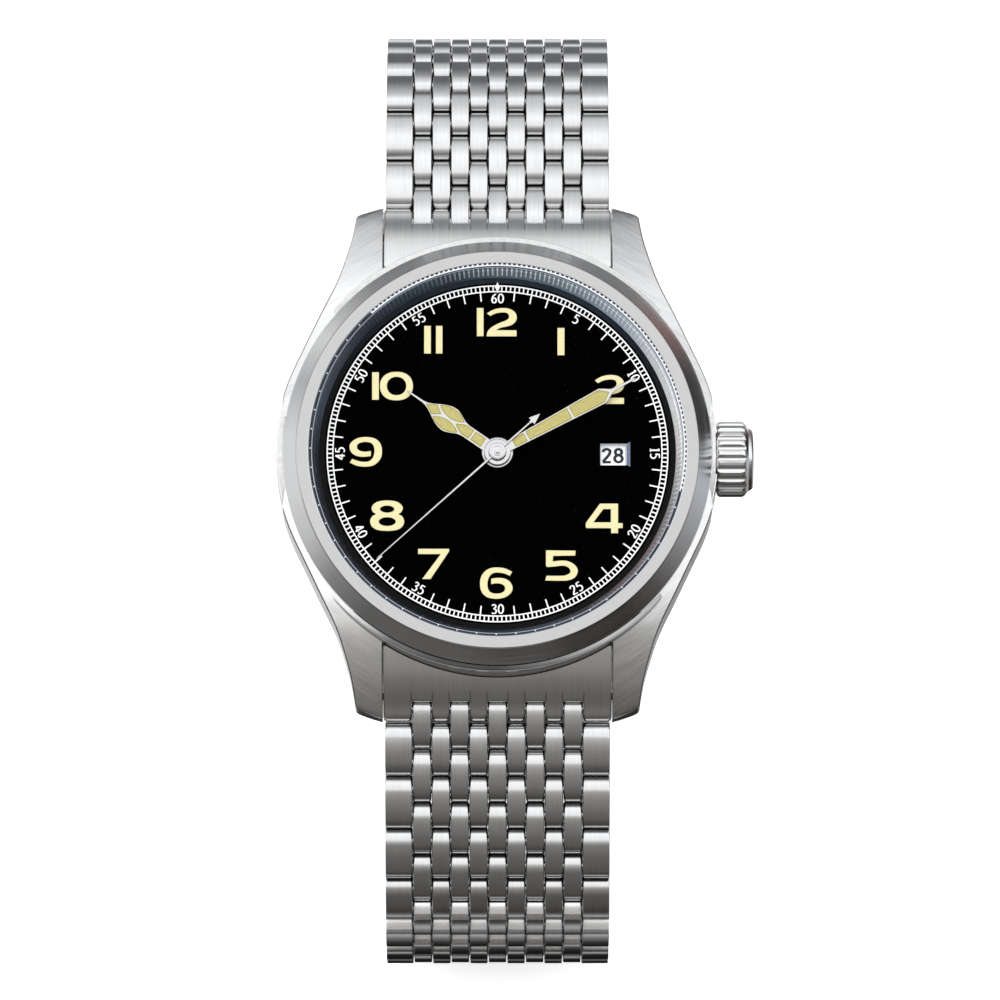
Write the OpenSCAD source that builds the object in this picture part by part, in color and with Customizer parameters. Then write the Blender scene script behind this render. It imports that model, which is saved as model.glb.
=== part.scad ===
// Pilot wristwatch with an automatic movement on a brick-pattern steel bracelet.
// Origin: centre of the case back's outer face, on the axis of the hands. +Z towards the crystal, +Y towards 12, +X towards 3 (the crown).

/* [Case] */
// Radius of the round mid case
case_r = 19.3; // [19.1:0.05:19.4]
// Height of the mid case's shoulder, where the bezel sits
case_top = 7.9; // [7.8:0.05:8.0]
// Outer radius of the bezel
bezel_r = 18.65; // [18.5:0.05:18.8]
// Height of the bezel's flat ring over the case back's outer face
bezel_top = 9.95; // [9.9:0.05:10.1]
// Clear gap between the two lugs of a pair
lug_gap = 20; // [20:0.05:20.1]
// Height of the dial's face over the case back's outer face
dial_z = 7.7; // [7.68:0.01:7.72]

/* [Crown] */
// Outer radius of the crown
crown_r = 3.3; // [3.2:0.01:3.35]
// Number of flutes around the crown
crown_flutes = 22; // [18:1:24]
// Height of the stem's axis over the case back's outer face
stem_z = 4.6; // [4.6:0.01:4.62]

/* [Bracelet] */
// Whole width of the bracelet
strap_w = 19.6; // [19.4:0.1:19.7]
// Width of one of the nine narrow brick columns, with its gap
col_w = 1.645; // [1.62:0.005:1.66]
// Gap between neighbouring columns of bricks
col_gap = 0.1; // [0.08:0.01:0.14]
// Distance between neighbouring pins along the bracelet
pin_step = 2.4; // [2.38:0.01:2.42]
// Radius of a brick's rounded ends, half its thickness
brick_r = 1.1; // [1.05:0.01:1.12]
// Radius of the pins that join the bricks
pin_r = 0.4; // [0.35:0.01:0.45]

/* [Hands] */
// Angle of the hour hand, clockwise from 12
hour_angle = 304.8; // [0:0.1:360]
// Angle of the minute hand, clockwise from 12
minute_angle = 61.5; // [0:0.1:360]
// Angle of the second hand, clockwise from 12
second_angle = 228; // [0:0.05:360]

/* [Hidden] */

// running clearance of a pin in its bore
fit = 0.04;
// first pin of each bracelet half: distance from the case's centre, height
pin0 = [21.6, 2.05];
// slope of each row of bricks, in degrees below the horizontal, from the end link to the clasp, as the bracelet lies in a closed loop
slopes_12 = [21, 13, 13, 17, 23, 42, 47, 57, 63, 69, 76, 84, 92, 102, 111, 120, 130, 140, 149, 159, 170, 180];
slopes_6 = [22, 21, 23, 25, 28, 33, 41, 52, 62, 72, 80, 87, 92, 97, 104, 114, 127, 141, 155, 166, 174, 180];
// position [y, z] of pin n of a bracelet half
function pin_at(s, n) = n == 0 ? pin0 : pin_at(s, n - 1) + pin_step * [cos(s[n - 1]), -sin(s[n - 1])];
// edges of the eleven columns, from left to right
function col_x(i) = i == 0 ? -strap_w / 2 : i == 11 ? strap_w / 2 : (i - 5.5) * col_w;

// inner end of the crown
crown_x = 19.03;
steel = "#b9bbbd";
end_12 = pin_at(slopes_12, 22);
end_6 = pin_at(slopes_6, 22);
// clasp levels: underside of the cover, hinge heights
cover_z = -33.0;
hinge_ab = [-17.5, -31.05];
hinge_ac = [17.0, -31.95];

// positions of the wheels, seen from the dial
function polar(r, a) = [r * cos(a), r * sin(a)];
at_barrel = polar(6.3, 150);
at_third = polar(4.62, 216);
at_escape = polar(3.465, -40);
at_fork = at_escape + polar(2.75, -75);
at_balance = at_fork + polar(3.75, -58);
balance_dir = -56.5;

// ---------- helpers ----------
// extrusion of a [y, z] profile along X, between x0 and x1
module along_x(x0, x1) translate([x0, 0, 0]) rotate([90, 0, 90]) linear_extrude(x1 - x0) children();
// rod along X at [y, z]
module rod_x(p, r, x0, x1) translate([x0, p[0], p[1]]) rotate([0, 90, 0]) cylinder(r = r, h = x1 - x0, $fn = 32);
// flat ring
module ring(r0, r1, z0, z1) translate([0, 0, z0]) difference() { cylinder(r = r1, h = z1 - z0, $fn = 96); translate([0, 0, -1]) cylinder(r = r0, h = z1 - z0 + 2, $fn = 96); }
// vertical rod
module rod(r, z0, z1) translate([0, 0, z0]) cylinder(r = r, h = z1 - z0, $fn = 32);
// outline of a spur gear, with a tooth centred on the angle a0
module gear2d(n, m, a0) {
  r = n * m / 2;
  polygon([for (i = [0 : n - 1]) for (k = [[-0.30, r - 1.15 * m], [-0.11, r + 0.85 * m], [0.11, r + 0.85 * m], [0.30, r - 1.15 * m]]) polar(k[1], a0 + (i + k[0]) * 360 / n)]);
}
// toothed wheel with four spoke windows
module spoked(n, m, a0, z0, t, hub) translate([0, 0, z0]) linear_extrude(t) difference() {
  gear2d(n, m, a0);
  r = n * m / 2 - 3.2 * m;
  for (q = [0 : 3]) rotate(q * 90 + 12) difference() {
    intersection() { circle(r = r, $fn = 64); square([r + 1, r + 1]); }
    circle(r = hub, $fn = 32);
    translate([-1, -1]) square([1 + 0.16, r + 2]);
    translate([-1, -1]) square([r + 2, 1 + 0.16]);
  }
}
// one brick of a bracelet half, in column c, between two pins; e is cut off the outer side of an outer brick
module brick(c, p, q, e = 0) {
  u = (q - p) / norm(q - p);
  along_x(col_x(c) + (c == 0 ? e : col_gap / 2), col_x(c + 1) - (c == 10 ? e : col_gap / 2)) difference() {
    union() {
      translate(p) circle(r = brick_r, $fn = 48);
      translate(q) circle(r = brick_r, $fn = 48);
      polygon([p + brick_r * [-u[1], u[0]], q + brick_r * [-u[1], u[0]], q - brick_r * [-u[1], u[0]], p - brick_r * [-u[1], u[0]]]);
    }
    translate(p) circle(r = pin_r + fit, $fn = 32);
    translate(q) circle(r = pin_r + fit, $fn = 32);
  }
}
// one full link: a row of five bricks, a row of six bricks, and the two pins at its outer ends; the last link on the cover's side is a little narrower, to go between the cover's walls
module full_link(s, j, e = 0) {
  p0 = pin_at(s, 2 * j - 2);
  p1 = pin_at(s, 2 * j - 1);
  p2 = pin_at(s, 2 * j);
  for (c = [1 : 2 : 9]) brick(c, p0, p1);
  for (c = [0 : 2 : 10]) brick(c, p1, p2, e);
  rod_x(p1, pin_r, -strap_w / 2 + 0.1, strap_w / 2 - 0.1);
  rod_x(p2, pin_r, -strap_w / 2 + 0.1 + e, strap_w / 2 - 0.1 - e);
}
module link_12(j) color(steel) full_link(slopes_12, j);
module link_6(j) color(steel) mirror([0, 1, 0]) full_link(slopes_6, j, j == 11 ? 0.3 : 0);

// ---------- case ----------
// one lug, in the quarter with X and Y positive
module lug() intersection() {
  translate([0, 0, -1]) linear_extrude(10) polygon([[lug_gap / 2, 13.4], [lug_gap / 2, 22.7], [12.05, 21.95], [12.42, 21.5], [12.75, 19.4], [13.3, 17.4], [14.1, 15.1], [15.5, 12.2], [17.2, 8.9], [18.35, 6], [16.6, 5]]);
  along_x(0, 25) polygon([[4, case_top], [9.5, case_top], [12.2, 7.75], [14.6, 7.35], [16.8, 6.65], [18.8, 5.75], [20.6, 4.7], [22, 3.6], [22.8, 2.7], [23, 1.4], [22.3, 0.55], [21, 0.2], [19.2, 0.2], [16.5, 0.7], [14, 1.15], [11.5, 1.3], [4, 1.3]]);
}
module mid_case() color(steel) difference() {
  union() {
    rotate_extrude($fn = 128) polygon([[15.9, 1.3], [18.5, 1.3], [19.05, 1.8], [case_r - 0.03, 2.8], [case_r, 4.4], [case_r - 0.02, 6.4], [case_r - 0.1, 7.5], [case_r - 0.4, case_top], [17.3, case_top], [17.3, 8.9], [15.9, 8.9]]);
    for (mx = [0, 1]) for (my = [0, 1]) mirror([mx, 0, 0]) mirror([0, my, 0]) lug();
  }
  // groove of the case back gasket
  ring(16.02, 16.6, 1, 1.75);
  // holes for the spring bars' tips
  for (s = [-1, 1]) rod_x([s * 20.35, 0.85], 0.36, -11.3, 11.3);
  // crown tube hole
  rod_x([0, stem_z], 1.3, 14, 21);
  // flat seat behind the crown
  rod_x([0, stem_z], crown_r + 0.25, crown_x - 0.05, 21);
}
module bezel() color("#c9cbcc") rotate_extrude($fn = 128) polygon([[17.32, case_top + 0.02], [bezel_r, case_top + 0.02], [bezel_r, 8.15], [17.56, 9.72], [17.48, bezel_top - 0.06], [17.36, bezel_top], [16.33, bezel_top], [16.25, bezel_top - 0.08], [16.25, 8.95], [17.32, 8.95]]);
module crystal() color([0.8, 0.9, 1, 0.35]) rotate_extrude($fn = 128) polygon([[0, 9.1], [16, 9.1], [16, 10.05], [15.75, 10.25], [0, 10.35]]);
module crystal_gasket() color("#222222") ring(16.02, 16.23, 8.95, 9.8);
module chapter_ring() color("#1a1d20") rotate_extrude($fn = 128) polygon([[15.5, dial_z + 0.02], [15.86, dial_z + 0.02], [15.86, 9.06], [15.74, 9.06]]);
module dial() color("#0b0b0c") difference() {
  translate([0, 0, dial_z - 0.4]) cylinder(r = 15.82, h = 0.4, $fn = 128);
  translate([0, 0, dial_z - 1]) cylinder(r = 1, h = 2, $fn = 32);
  translate([8.95, -1.04, dial_z - 1]) cube([2.27, 1.88, 2]);
}
module case_back() color(steel) difference() {
  union() {
    rotate_extrude($fn = 128) polygon([[0, 0], [16, 0], [17.1, 0.5], [17.2, 0.7], [17.2, 1.15], [15.85, 1.15], [15.85, 2.5], [14.9, 2.5], [14.9, 1.15], [0, 1.15]]);
  }
  // six slots for the opening tool
  for (a = [0 : 60 : 300]) rotate(a) translate([15.6, -0.9, -0.1]) cube([3, 1.8, 0.5]);
}
module case_back_gasket() color("#202020") ring(16.07, 16.55, 1.17, 1.7);

// ---------- hands and dial side ----------
module hour_hand() color("#d9d6c4") translate([0, 0, 8.05]) rotate(-hour_angle) linear_extrude(0.15) difference() {
  union() {
    circle(r = 1.37, $fn = 48);
    polygon([[0.57, 0.9], [0.57, 3.5], [0.85, 4.2], [1.15, 4.9], [1.15, 5.5], [0.9, 6.1], [0.5, 6.75], [0.3, 7.2], [0.1, 7.7], [0.09, 9.5], [0, 9.56], [-0.09, 9.5], [-0.1, 7.7], [-0.3, 7.2], [-0.5, 6.75], [-0.9, 6.1], [-1.15, 5.5], [-1.15, 4.9], [-0.85, 4.2], [-0.57, 3.5], [-0.57, 0.9]]);
  }
  circle(r = 0.8, $fn = 48);
}
module minute_hand() color("#d9d6c4") translate([0, 0, 8.38]) rotate(-minute_angle) linear_extrude(0.15) difference() {
  union() {
    circle(r = 1.15, $fn = 48);
    polygon([[0.45, 0.8], [0.72, 10.35], [0.13, 11.35], [0.12, 13.65], [0, 13.7], [-0.12, 13.65], [-0.13, 11.35], [-0.72, 10.35], [-0.45, 0.8]]);
  }
  circle(r = 0.5, $fn = 48);
}
module second_hand() color("#e4e4e4") translate([0, 0, 8.68]) rotate(-second_angle) difference() {
  union() {
    cylinder(r = 0.75, h = 0.14, $fn = 48);
    linear_extrude(0.1) polygon([[0.09, 0], [0.07, 14.1], [0, 14.15], [-0.07, 14.1], [-0.09, 0], [-0.09, -3.85], [-0.475, -4.0], [-0.2, -4.55], [0, -5], [0.2, -4.55], [0.475, -4.0], [0.09, -3.85]]);
  }
  translate([0, 0, -1]) cylinder(r = 0.17, h = 3, $fn = 32);
}
module date_disc() color("#f2f2ee") difference() {
  ring(8.1, 11.9, 6.95, 7.12);
  translate([0, 0, 6]) linear_extrude(2) polygon([for (i = [0 : 30]) for (k = [[-0.3, 8.1], [-0.14, 8.5], [0.14, 8.5], [0.3, 8.1]]) polar(k[1], (i + k[0]) * 360 / 31)]);
}

// ---------- crown, stem ----------
module crown_tube() color("#c2c4c6") difference() {
  rod_x([0, stem_z], 1.28, 15.95, 20.5);
  rod_x([0, stem_z], 0.85, 15, 22);
}
module crown() color("#c9cbcc") translate([crown_x, 0, stem_z]) rotate([0, 90, 0]) difference() {
  rotate_extrude($fn = 96) polygon([[0, 0], [crown_r - 0.5, 0], [crown_r - 0.12, 0.16], [crown_r, 0.4], [crown_r, 2.25], [crown_r - 0.12, 2.5], [crown_r - 0.46, 2.78], [crown_r - 0.55, 2.84], [crown_r - 0.62, 3.05], [crown_r - 0.85, 3.24], [1.6, 3.3], [0, 3.32]]);
  translate([0, 0, -1]) cylinder(r = 1.45, h = 2.7, $fn = 48);
  translate([0, 0, 1]) cylinder(r = 0.45, h = 1.1, $fn = 32);
  for (i = [0 : crown_flutes - 1]) rotate((i + 0.5) * 360 / crown_flutes) translate([crown_r + 0.1, 0, 0.22]) cylinder(r = 0.27, h = 2.3, $fn = 24);
}
module winding_stem() color("#8f9193") {
  rod_x([0, stem_z], 0.45, 12.6, 21.1);
  translate([8.55, -0.3, stem_z - 0.3]) cube([4.1, 0.6, 0.6]);
}
module winding_pinion() color("#c7b16b") translate([8.6, 0, stem_z]) rotate([0, 90, 0]) difference() {
  linear_extrude(1.8) gear2d(18, 0.12, 0);
  translate([-0.33, -0.33, -1]) cube([0.66, 0.66, 4]);
}

// ---------- end links and spring bars ----------
module end_link() {
  difference() {
    union() {
      along_x(-lug_gap / 2 + 0.06, lug_gap / 2 - 0.06) polygon([[14, 7.25], [16.4, 6.7], [18.2, 5.95], [19.4, 5.3], [20.3, 4.65], [21, 4.0], [21.6, 3.4], [21.99, 3.07], pin0, [21.2, 0.95], [20.9, 0.25], [19.2, 0.25], [14, 1.3]]);
      for (c = [0 : 2 : 10]) along_x(c == 0 ? -lug_gap / 2 + 0.06 : col_x(c) + col_gap / 2, c == 10 ? lug_gap / 2 - 0.06 : col_x(c + 1) - col_gap / 2) translate(pin0) circle(r = brick_r, $fn = 48);
    }
    translate([0, 0, -2]) cylinder(r = case_r + 0.05, h = 12, $fn = 128);
    // notches for the first row of bricks
    for (c = [1 : 2 : 9]) along_x(col_x(c) - col_gap / 2, col_x(c + 1) + col_gap / 2) union() {
      translate(pin0) circle(r = brick_r + 0.12, $fn = 48);
      translate([pin0[0], -1]) square([3, 6]);
    }
    rod_x(pin0, pin_r + fit, -11, 11);
    rod_x([20.35, 0.85], 0.5, -11, 11);
  }
  rod_x(pin0, pin_r, -9.7, 9.7);
}
module end_link_12() color(steel) end_link();
module end_link_6() color(steel) mirror([0, 1, 0]) end_link();
module spring_bars() color("#8f9193") for (s = [-1, 1]) {
  rod_x([s * 20.35, 0.85], 0.46, -9.7, 9.7);
  rod_x([s * 20.35, 0.85], 0.32, -11.1, 11.1);
}

// ---------- movement ----------
module movement_ring() color("#d8d8d4") difference() {
  ring(13.05, 15.82, 2.6, 7.25);
  rod_x([0, stem_z], 0.75, 10, 17);
}
module pivots(r) { for (p = [at_third, at_escape, at_fork, at_balance, [0, 0]]) translate(p) rod(r, 2.55, 6.1); translate(at_barrel) rod(0.38, 2.55, 6.1); }
module mainplate() color("#c4c0b0") difference() {
  union() {
    rod(13, 5.4, 6.6);
    ring(12.3, 13, 3.12, 5.5);
  }
  pivots(0.15);
  rod(0.55, 5, 7);
  translate([8.4, -1.35, 5]) cube([2.2, 2.7, 1]);
  rod_x([0, stem_z], 0.5, 10, 14);
  translate([at_balance[0], at_balance[1], 3]) cylinder(r = 3.4, h = 2.4, $fn = 64);
  for (a = [35, 110, 200, 260]) rotate(a) translate([12.65, 0, 0]) rod(0.24, 3, 4.8);
  for (a = [-14, 14]) rotate(balance_dir + a) translate([12.65, 0, 0]) rod(0.24, 3, 4.8);
}
// plan outline of the balance cock, grown by g
module cock2d(g) rotate(balance_dir) polygon([[6.9 - g, -1.3 - g], [6.9 - g, 1.3 + g], [10.5, 2.2 + g], [11.6, 4.4 + g], [14, 4.6 + g], [14, -4.6 - g], [11.6, -4.4 - g], [10.5, -2.2 - g]]);
module train_bridge() color("#cfcfcc") difference() {
  union() {
    translate([0, 0, 2.5]) linear_extrude(0.6) difference() {
      circle(r = 13, $fn = 96);
      cock2d(0.15);
    }
    rod(0.85, 1.45, 2.6);
    rod(1.4, 1.22, 1.46);
  }
  for (p = [at_third, at_escape, at_fork, [0, 0]]) translate(p) rod(0.15, 2.7, 4);
  translate(at_barrel) rod(0.38, 2.7, 4);
  for (a = [35, 110, 200, 260]) rotate(a) translate([12.65, 0, 0]) { rod(0.25, 2, 4); translate([0, 0, 2.4]) cylinder(r = 0.34, h = 0.35, $fn = 32); }
}
module balance_cock() color("#cfcfcc") translate([0, 0, 0]) difference() {
  translate([0, 0, 2.5]) linear_extrude(0.6) intersection() { circle(r = 13, $fn = 96); cock2d(0); }
  translate(at_balance) rod(0.15, 2.7, 4);
  for (a = [-14, 14]) rotate(balance_dir + a) translate([12.65, 0, 0]) { rod(0.25, 2, 4); translate([0, 0, 2.4]) cylinder(r = 0.34, h = 0.35, $fn = 32); }
}
module bridge_screws() color("#4a5a86") for (a = [35, 110, 200, 260, balance_dir - 14, balance_dir + 14]) rotate(a) translate([12.65, 0, 0]) {
  rod(0.2, 2.6, 4.6);
  difference() { rod(0.31, 2.5, 2.74); translate([-0.04, -1, 2.4]) cube([0.08, 2, 0.18]); }
}
module barrel() color("#c7b16b") translate(at_barrel) {
  difference() {
    union() {
      rod(5.1, 4.3, 5.05);
      translate([0, 0, 5.0]) linear_extrude(0.25) gear2d(78, 0.14, 150 + 180);
    }
    translate([0, 0, 4.2]) cylinder(r = 4.75, h = 0.8, $fn = 96);
    rod(0.4, 4, 6);
  }
  // barrel arbor
  rod(0.35, 2.75, 6.05);
  rod(0.85, 4.36, 4.94);
}
// flat spiral band from radius r0 to r1 in n turns, t thick
module spiral(r0, r1, n, t, k) polygon(concat([for (i = [0 : n * k]) polar(r0 + (r1 - r0) * i / (n * k), i * 360 / k)], [for (i = [n * k : -1 : 0]) polar(r0 + t + (r1 - r0) * i / (n * k), i * 360 / k)]));
module mainspring() color("#7f8790") translate([at_barrel[0], at_barrel[1], 4.42]) linear_extrude(0.46) spiral(0.95, 4.5, 6, 0.12, 24);
module centre_wheel() color("#c7b16b") difference() {
  union() {
    spoked(72, 0.11, 216, 3.95, 0.15, 0.9);
    rod(0.5, 3.95, 8.53);
    translate([0, 0, 4.95]) linear_extrude(0.35) gear2d(12, 0.14, 150 + 15);
  }
  rod(0.22, 3, 9);
}
module third_wheel() color("#c7b16b") translate(at_third) {
  spoked(80, 0.105, 36, 3.6, 0.15, 0.6);
  translate([0, 0, 3.88]) linear_extrude(0.29) gear2d(12, 0.11, 36 + 15);
  rod(0.2, 3.2, 5.3);
  rod(0.12, 2.75, 6.05);
}
module fourth_wheel() color("#c7b16b") {
  spoked(70, 0.09, -40, 3.3, 0.15, 0.6);
  translate([0, 0, 3.55]) linear_extrude(0.25) gear2d(8, 0.105, 216 + 22.5);
  rod(0.17, 3.15, 8.86);
  rod(0.12, 2.75, 3.2);
}
module escape_wheel() color("#b9bbbd") translate(at_escape) {
  translate([0, 0, 3.25]) linear_extrude(0.25) gear2d(7, 0.09, 140 + 180 / 7);
  translate([0, 0, 4.3]) linear_extrude(0.15) difference() {
    polygon([for (i = [0 : 14]) for (k = [[0, 1.55], [6, 1.98], [9.5, 2.0], [8, 1.5]]) polar(k[1], i * 24 + k[0])]);
    for (q = [0 : 4]) rotate(q * 72) polygon([polar(0.5, -22), polar(1.3, -30), polar(1.3, 30), polar(0.5, 22)]);
  }
  rod(0.15, 3.2, 5.3);
  rod(0.12, 2.75, 6.05);
}
module pallet_fork() color("#b9bbbd") translate(at_fork) {
  translate([0, 0, 4.3]) linear_extrude(0.15) {
    circle(r = 0.3, $fn = 32);
    rotate(-58) translate([0, -0.11]) square([3.05, 0.22]);
    rotate(105) polygon([[-0.1, 0.2], [0.25, 1.42], [0.45, 1.5], [0.62, 1.42], [0.42, 1.22], [0.3, 0], [0.42, -1.22], [0.62, -1.42], [0.45, -1.5], [0.25, -1.42], [-0.1, -0.2]]);
  }
  rod(0.15, 3.2, 5.3);
  rod(0.12, 2.75, 6.05);
}
module balance_wheel() color("#c7b16b") translate(at_balance) {
  difference() {
    ring(2.6, 3.05, 4.7, 5.05);
    for (a = [30 : 60 : 330]) rotate(a) translate([3.05, 0, 4.6]) cylinder(r = 0.12, h = 1, $fn = 24);
  }
  translate([0, 0, 4.75]) linear_extrude(0.2) { circle(r = 0.5, $fn = 32); for (a = [0, 120, 240]) rotate(a) translate([0, -0.15]) square([2.75, 0.3]); }
  rod(0.42, 4.2, 4.5);
  rod(0.18, 3.3, 5.3);
  rod(0.12, 2.75, 6.05);
}
module hairspring() color("#3c5fa8") translate([at_balance[0], at_balance[1], 3.6]) linear_extrude(0.12) { difference() { circle(r = 0.42, $fn = 32); circle(r = 0.18, $fn = 32); } spiral(0.38, 1.9, 7, 0.06, 24); }
module hour_wheel() color("#c7b16b") difference() {
  union() {
    translate([0, 0, 6.66]) linear_extrude(0.18) gear2d(48, 0.125, 0);
    rod(0.8, 6.66, 8.2);
  }
  rod(0.56, 6, 9);
}
module rotor() color("#b59f62") difference() {
  union() {
    translate([0, 0, 1.52]) linear_extrude(0.6) difference() {
      union() {
        circle(r = 2.4, $fn = 48);
        intersection() { circle(r = 12.8, $fn = 96); polygon([[0, 0], polar(30, -10), polar(30, 90), polar(30, 190)]); }
      }
      for (a = [25, 65, 115, 155]) rotate(a) translate([7.2, 0]) circle(r = 1.7, $fn = 48);
    }
    intersection() { ring(11.2, 12.8, 1.42, 2.3); linear_extrude(4) polygon([[0, 0], polar(30, -10), polar(30, 90), polar(30, 190)]); }
  }
  rod(0.9, 1, 3);
}

// ---------- folding clasp ----------
// blade next to the 12 o'clock half: fingers on that half's last pin, knuckles at the far end
module clasp_blade_inner() color(steel) difference() {
  union() {
    along_x(-7.3, 7.3) polygon([[end_12[0] - 1.35, -31.25], [end_12[0] - 1.35, -30.6], [hinge_ab[0] + 1.1, -30.6], [hinge_ab[0] + 1.1, -31.25]]);
    for (c = [1 : 2 : 9]) along_x(col_x(c) + col_gap / 2, col_x(c + 1) - col_gap / 2) {
      translate(end_12) circle(r = 1.0, $fn = 48);
      polygon([[end_12[0] - 1.5, -31.25], [end_12[0] - 1.5, -30.6], [end_12[0], end_12[1] + 0.9], [end_12[0], end_12[1] - 0.9]]);
    }
    for (x = [-7.3, 4.7]) along_x(x, x + 2.6) { translate(hinge_ab) circle(r = 0.65, $fn = 48); polygon([[hinge_ab[0], -31.6], [hinge_ab[0], -30.5], [hinge_ab[0] + 1.3, -30.6], [hinge_ab[0] + 1.3, -31.25]]); }
  }
  rod_x(end_12, pin_r + fit, -11, 11);
  rod_x(hinge_ab, 0.3, -11, 11);
}
// middle blade, between the inner blade and the cover
module clasp_blade_outer() color(steel) {
  difference() {
    union() {
      along_x(-4.4, 4.4) polygon([[hinge_ab[0] + 0.9, -32.15], [hinge_ab[0] + 0.9, -31.6], [hinge_ac[0] - 0.9, -31.6], [hinge_ac[0] - 0.9, -32.15]]);
      along_x(-4.5, 4.5) { translate(hinge_ab) circle(r = 0.65, $fn = 48); polygon([[hinge_ab[0] - 0.5, hinge_ab[1] - 0.4], [hinge_ab[0] + 0.5, hinge_ab[1] - 0.4], [hinge_ab[0] + 1.1, -31.6], [hinge_ab[0] + 1.1, -32.15], [hinge_ab[0] + 0.2, -32.15]]); }
      along_x(-4.4, 4.4) { translate(hinge_ac) circle(r = 0.55, $fn = 48); translate([hinge_ac[0] - 1, -32.15]) square([1, 0.55]); }
    }
    rod_x(hinge_ac, 0.3, -11, 11);
    rod_x(hinge_ab, 0.25, -4.6, 4.6);
  }
  // pin of the two blades' hinge
  rod_x(hinge_ab, 0.26, -7.2, 7.2);
}
// outer cover with side walls; its walls hold the 6 o'clock half's last pin
module clasp_cover() color("#c2c4c6") difference() {
  union() {
    along_x(-10.05, 10.05) polygon([[-end_6[0] + 1.7, cover_z + 0.25], [-end_6[0] + 2.0, cover_z], [hinge_ac[0] + 0.9, cover_z], [hinge_ac[0] + 1.3, cover_z + 0.3], [hinge_ac[0] + 1.3, cover_z + 0.45], [-end_6[0] + 1.7, cover_z + 0.45]]);
    for (x = [-10.05, 9.56]) along_x(x, x + 0.49) polygon([[-end_6[0] - 1.2, end_6[1] - 0.5], [-end_6[0] - 0.6, end_6[1] - 1.1], [-end_6[0] + 1.9, cover_z + 0.1], [hinge_ac[0] + 0.9, cover_z + 0.1], [hinge_ac[0] + 1.3, cover_z + 0.4], [hinge_ac[0] + 0.6, -31.3], [hinge_ac[0] - 4, -30.9], [-end_6[0] + 4, -30.9], [-end_6[0] + 0.5, -30.8], [-end_6[0] - 0.9, -31.1]]);
    // knuckles of the blade hinge
    for (x = [-9.6, 4.5]) along_x(x, x + 5.1) { translate(hinge_ac) circle(r = 0.55, $fn = 48); translate([hinge_ac[0] - 0.5, cover_z + 0.4]) square([1, 0.65]); }
    rod_x(hinge_ac, 0.26, -9.6, 9.6);
  }
  // micro adjustment holes and the open pivot's holes in the side walls
  for (k = [0 : 3]) rod_x([-end_6[0] + 2.6 * k, end_6[1]], 0.5, -11, -9.5);
  for (k = [0 : 3]) rod_x([-end_6[0] + 2.6 * k, end_6[1]], 0.5, 9.5, 11);
}

mid_case();
bezel();
crystal();
crystal_gasket();
chapter_ring();
dial();
hour_hand();
minute_hand();
second_hand();
date_disc();
case_back();
case_back_gasket();
crown_tube();
crown();
winding_stem();
winding_pinion();
end_link_12();
end_link_6();
spring_bars();
movement_ring();
mainplate();
train_bridge();
balance_cock();
bridge_screws();
barrel();
mainspring();
centre_wheel();
third_wheel();
fourth_wheel();
escape_wheel();
pallet_fork();
balance_wheel();
hairspring();
hour_wheel();
rotor();
link_12(1);  // link_12_01
link_12(2);  // link_12_02
link_12(3);  // link_12_03
link_12(4);  // link_12_04
link_12(5);  // link_12_05
link_12(6);  // link_12_06
link_12(7);  // link_12_07
link_12(8);  // link_12_08
link_12(9);  // link_12_09
link_12(10);  // link_12_10
link_12(11);  // link_12_11
link_6(1);  // link_6_01
link_6(2);  // link_6_02
link_6(3);  // link_6_03
link_6(4);  // link_6_04
link_6(5);  // link_6_05
link_6(6);  // link_6_06
link_6(7);  // link_6_07
link_6(8);  // link_6_08
link_6(9);  // link_6_09
link_6(10);  // link_6_10
link_6(11);  // link_6_11
clasp_blade_inner();
clasp_blade_outer();
clasp_cover();
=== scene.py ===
import math
import random

import bpy
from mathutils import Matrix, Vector
from mathutils.geometry import tessellate_polygon


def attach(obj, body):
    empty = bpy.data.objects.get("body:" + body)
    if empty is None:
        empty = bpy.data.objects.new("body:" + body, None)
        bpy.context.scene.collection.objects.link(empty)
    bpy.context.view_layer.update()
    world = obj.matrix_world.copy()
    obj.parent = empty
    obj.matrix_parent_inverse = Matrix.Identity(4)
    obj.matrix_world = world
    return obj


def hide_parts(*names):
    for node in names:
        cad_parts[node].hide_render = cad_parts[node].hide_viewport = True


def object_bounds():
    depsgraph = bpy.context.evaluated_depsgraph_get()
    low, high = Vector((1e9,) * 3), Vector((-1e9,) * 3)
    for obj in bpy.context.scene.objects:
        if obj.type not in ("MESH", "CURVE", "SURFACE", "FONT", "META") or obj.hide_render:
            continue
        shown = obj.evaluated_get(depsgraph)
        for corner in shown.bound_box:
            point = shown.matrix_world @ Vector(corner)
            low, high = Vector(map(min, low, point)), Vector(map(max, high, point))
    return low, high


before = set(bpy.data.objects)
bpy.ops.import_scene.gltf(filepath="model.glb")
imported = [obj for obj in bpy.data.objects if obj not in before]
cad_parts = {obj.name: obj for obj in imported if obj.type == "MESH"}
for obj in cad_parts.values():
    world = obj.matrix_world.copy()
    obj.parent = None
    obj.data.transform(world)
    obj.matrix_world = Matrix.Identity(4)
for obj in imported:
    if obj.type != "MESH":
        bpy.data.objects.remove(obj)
cad_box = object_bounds()
S = 0.001  # everything below is written in millimetres
rnd = random.Random(12)

# ---------------------------------------------------------------- curves and outlines


def clamp(v, a, b):
    return max(a, min(b, v))


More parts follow.
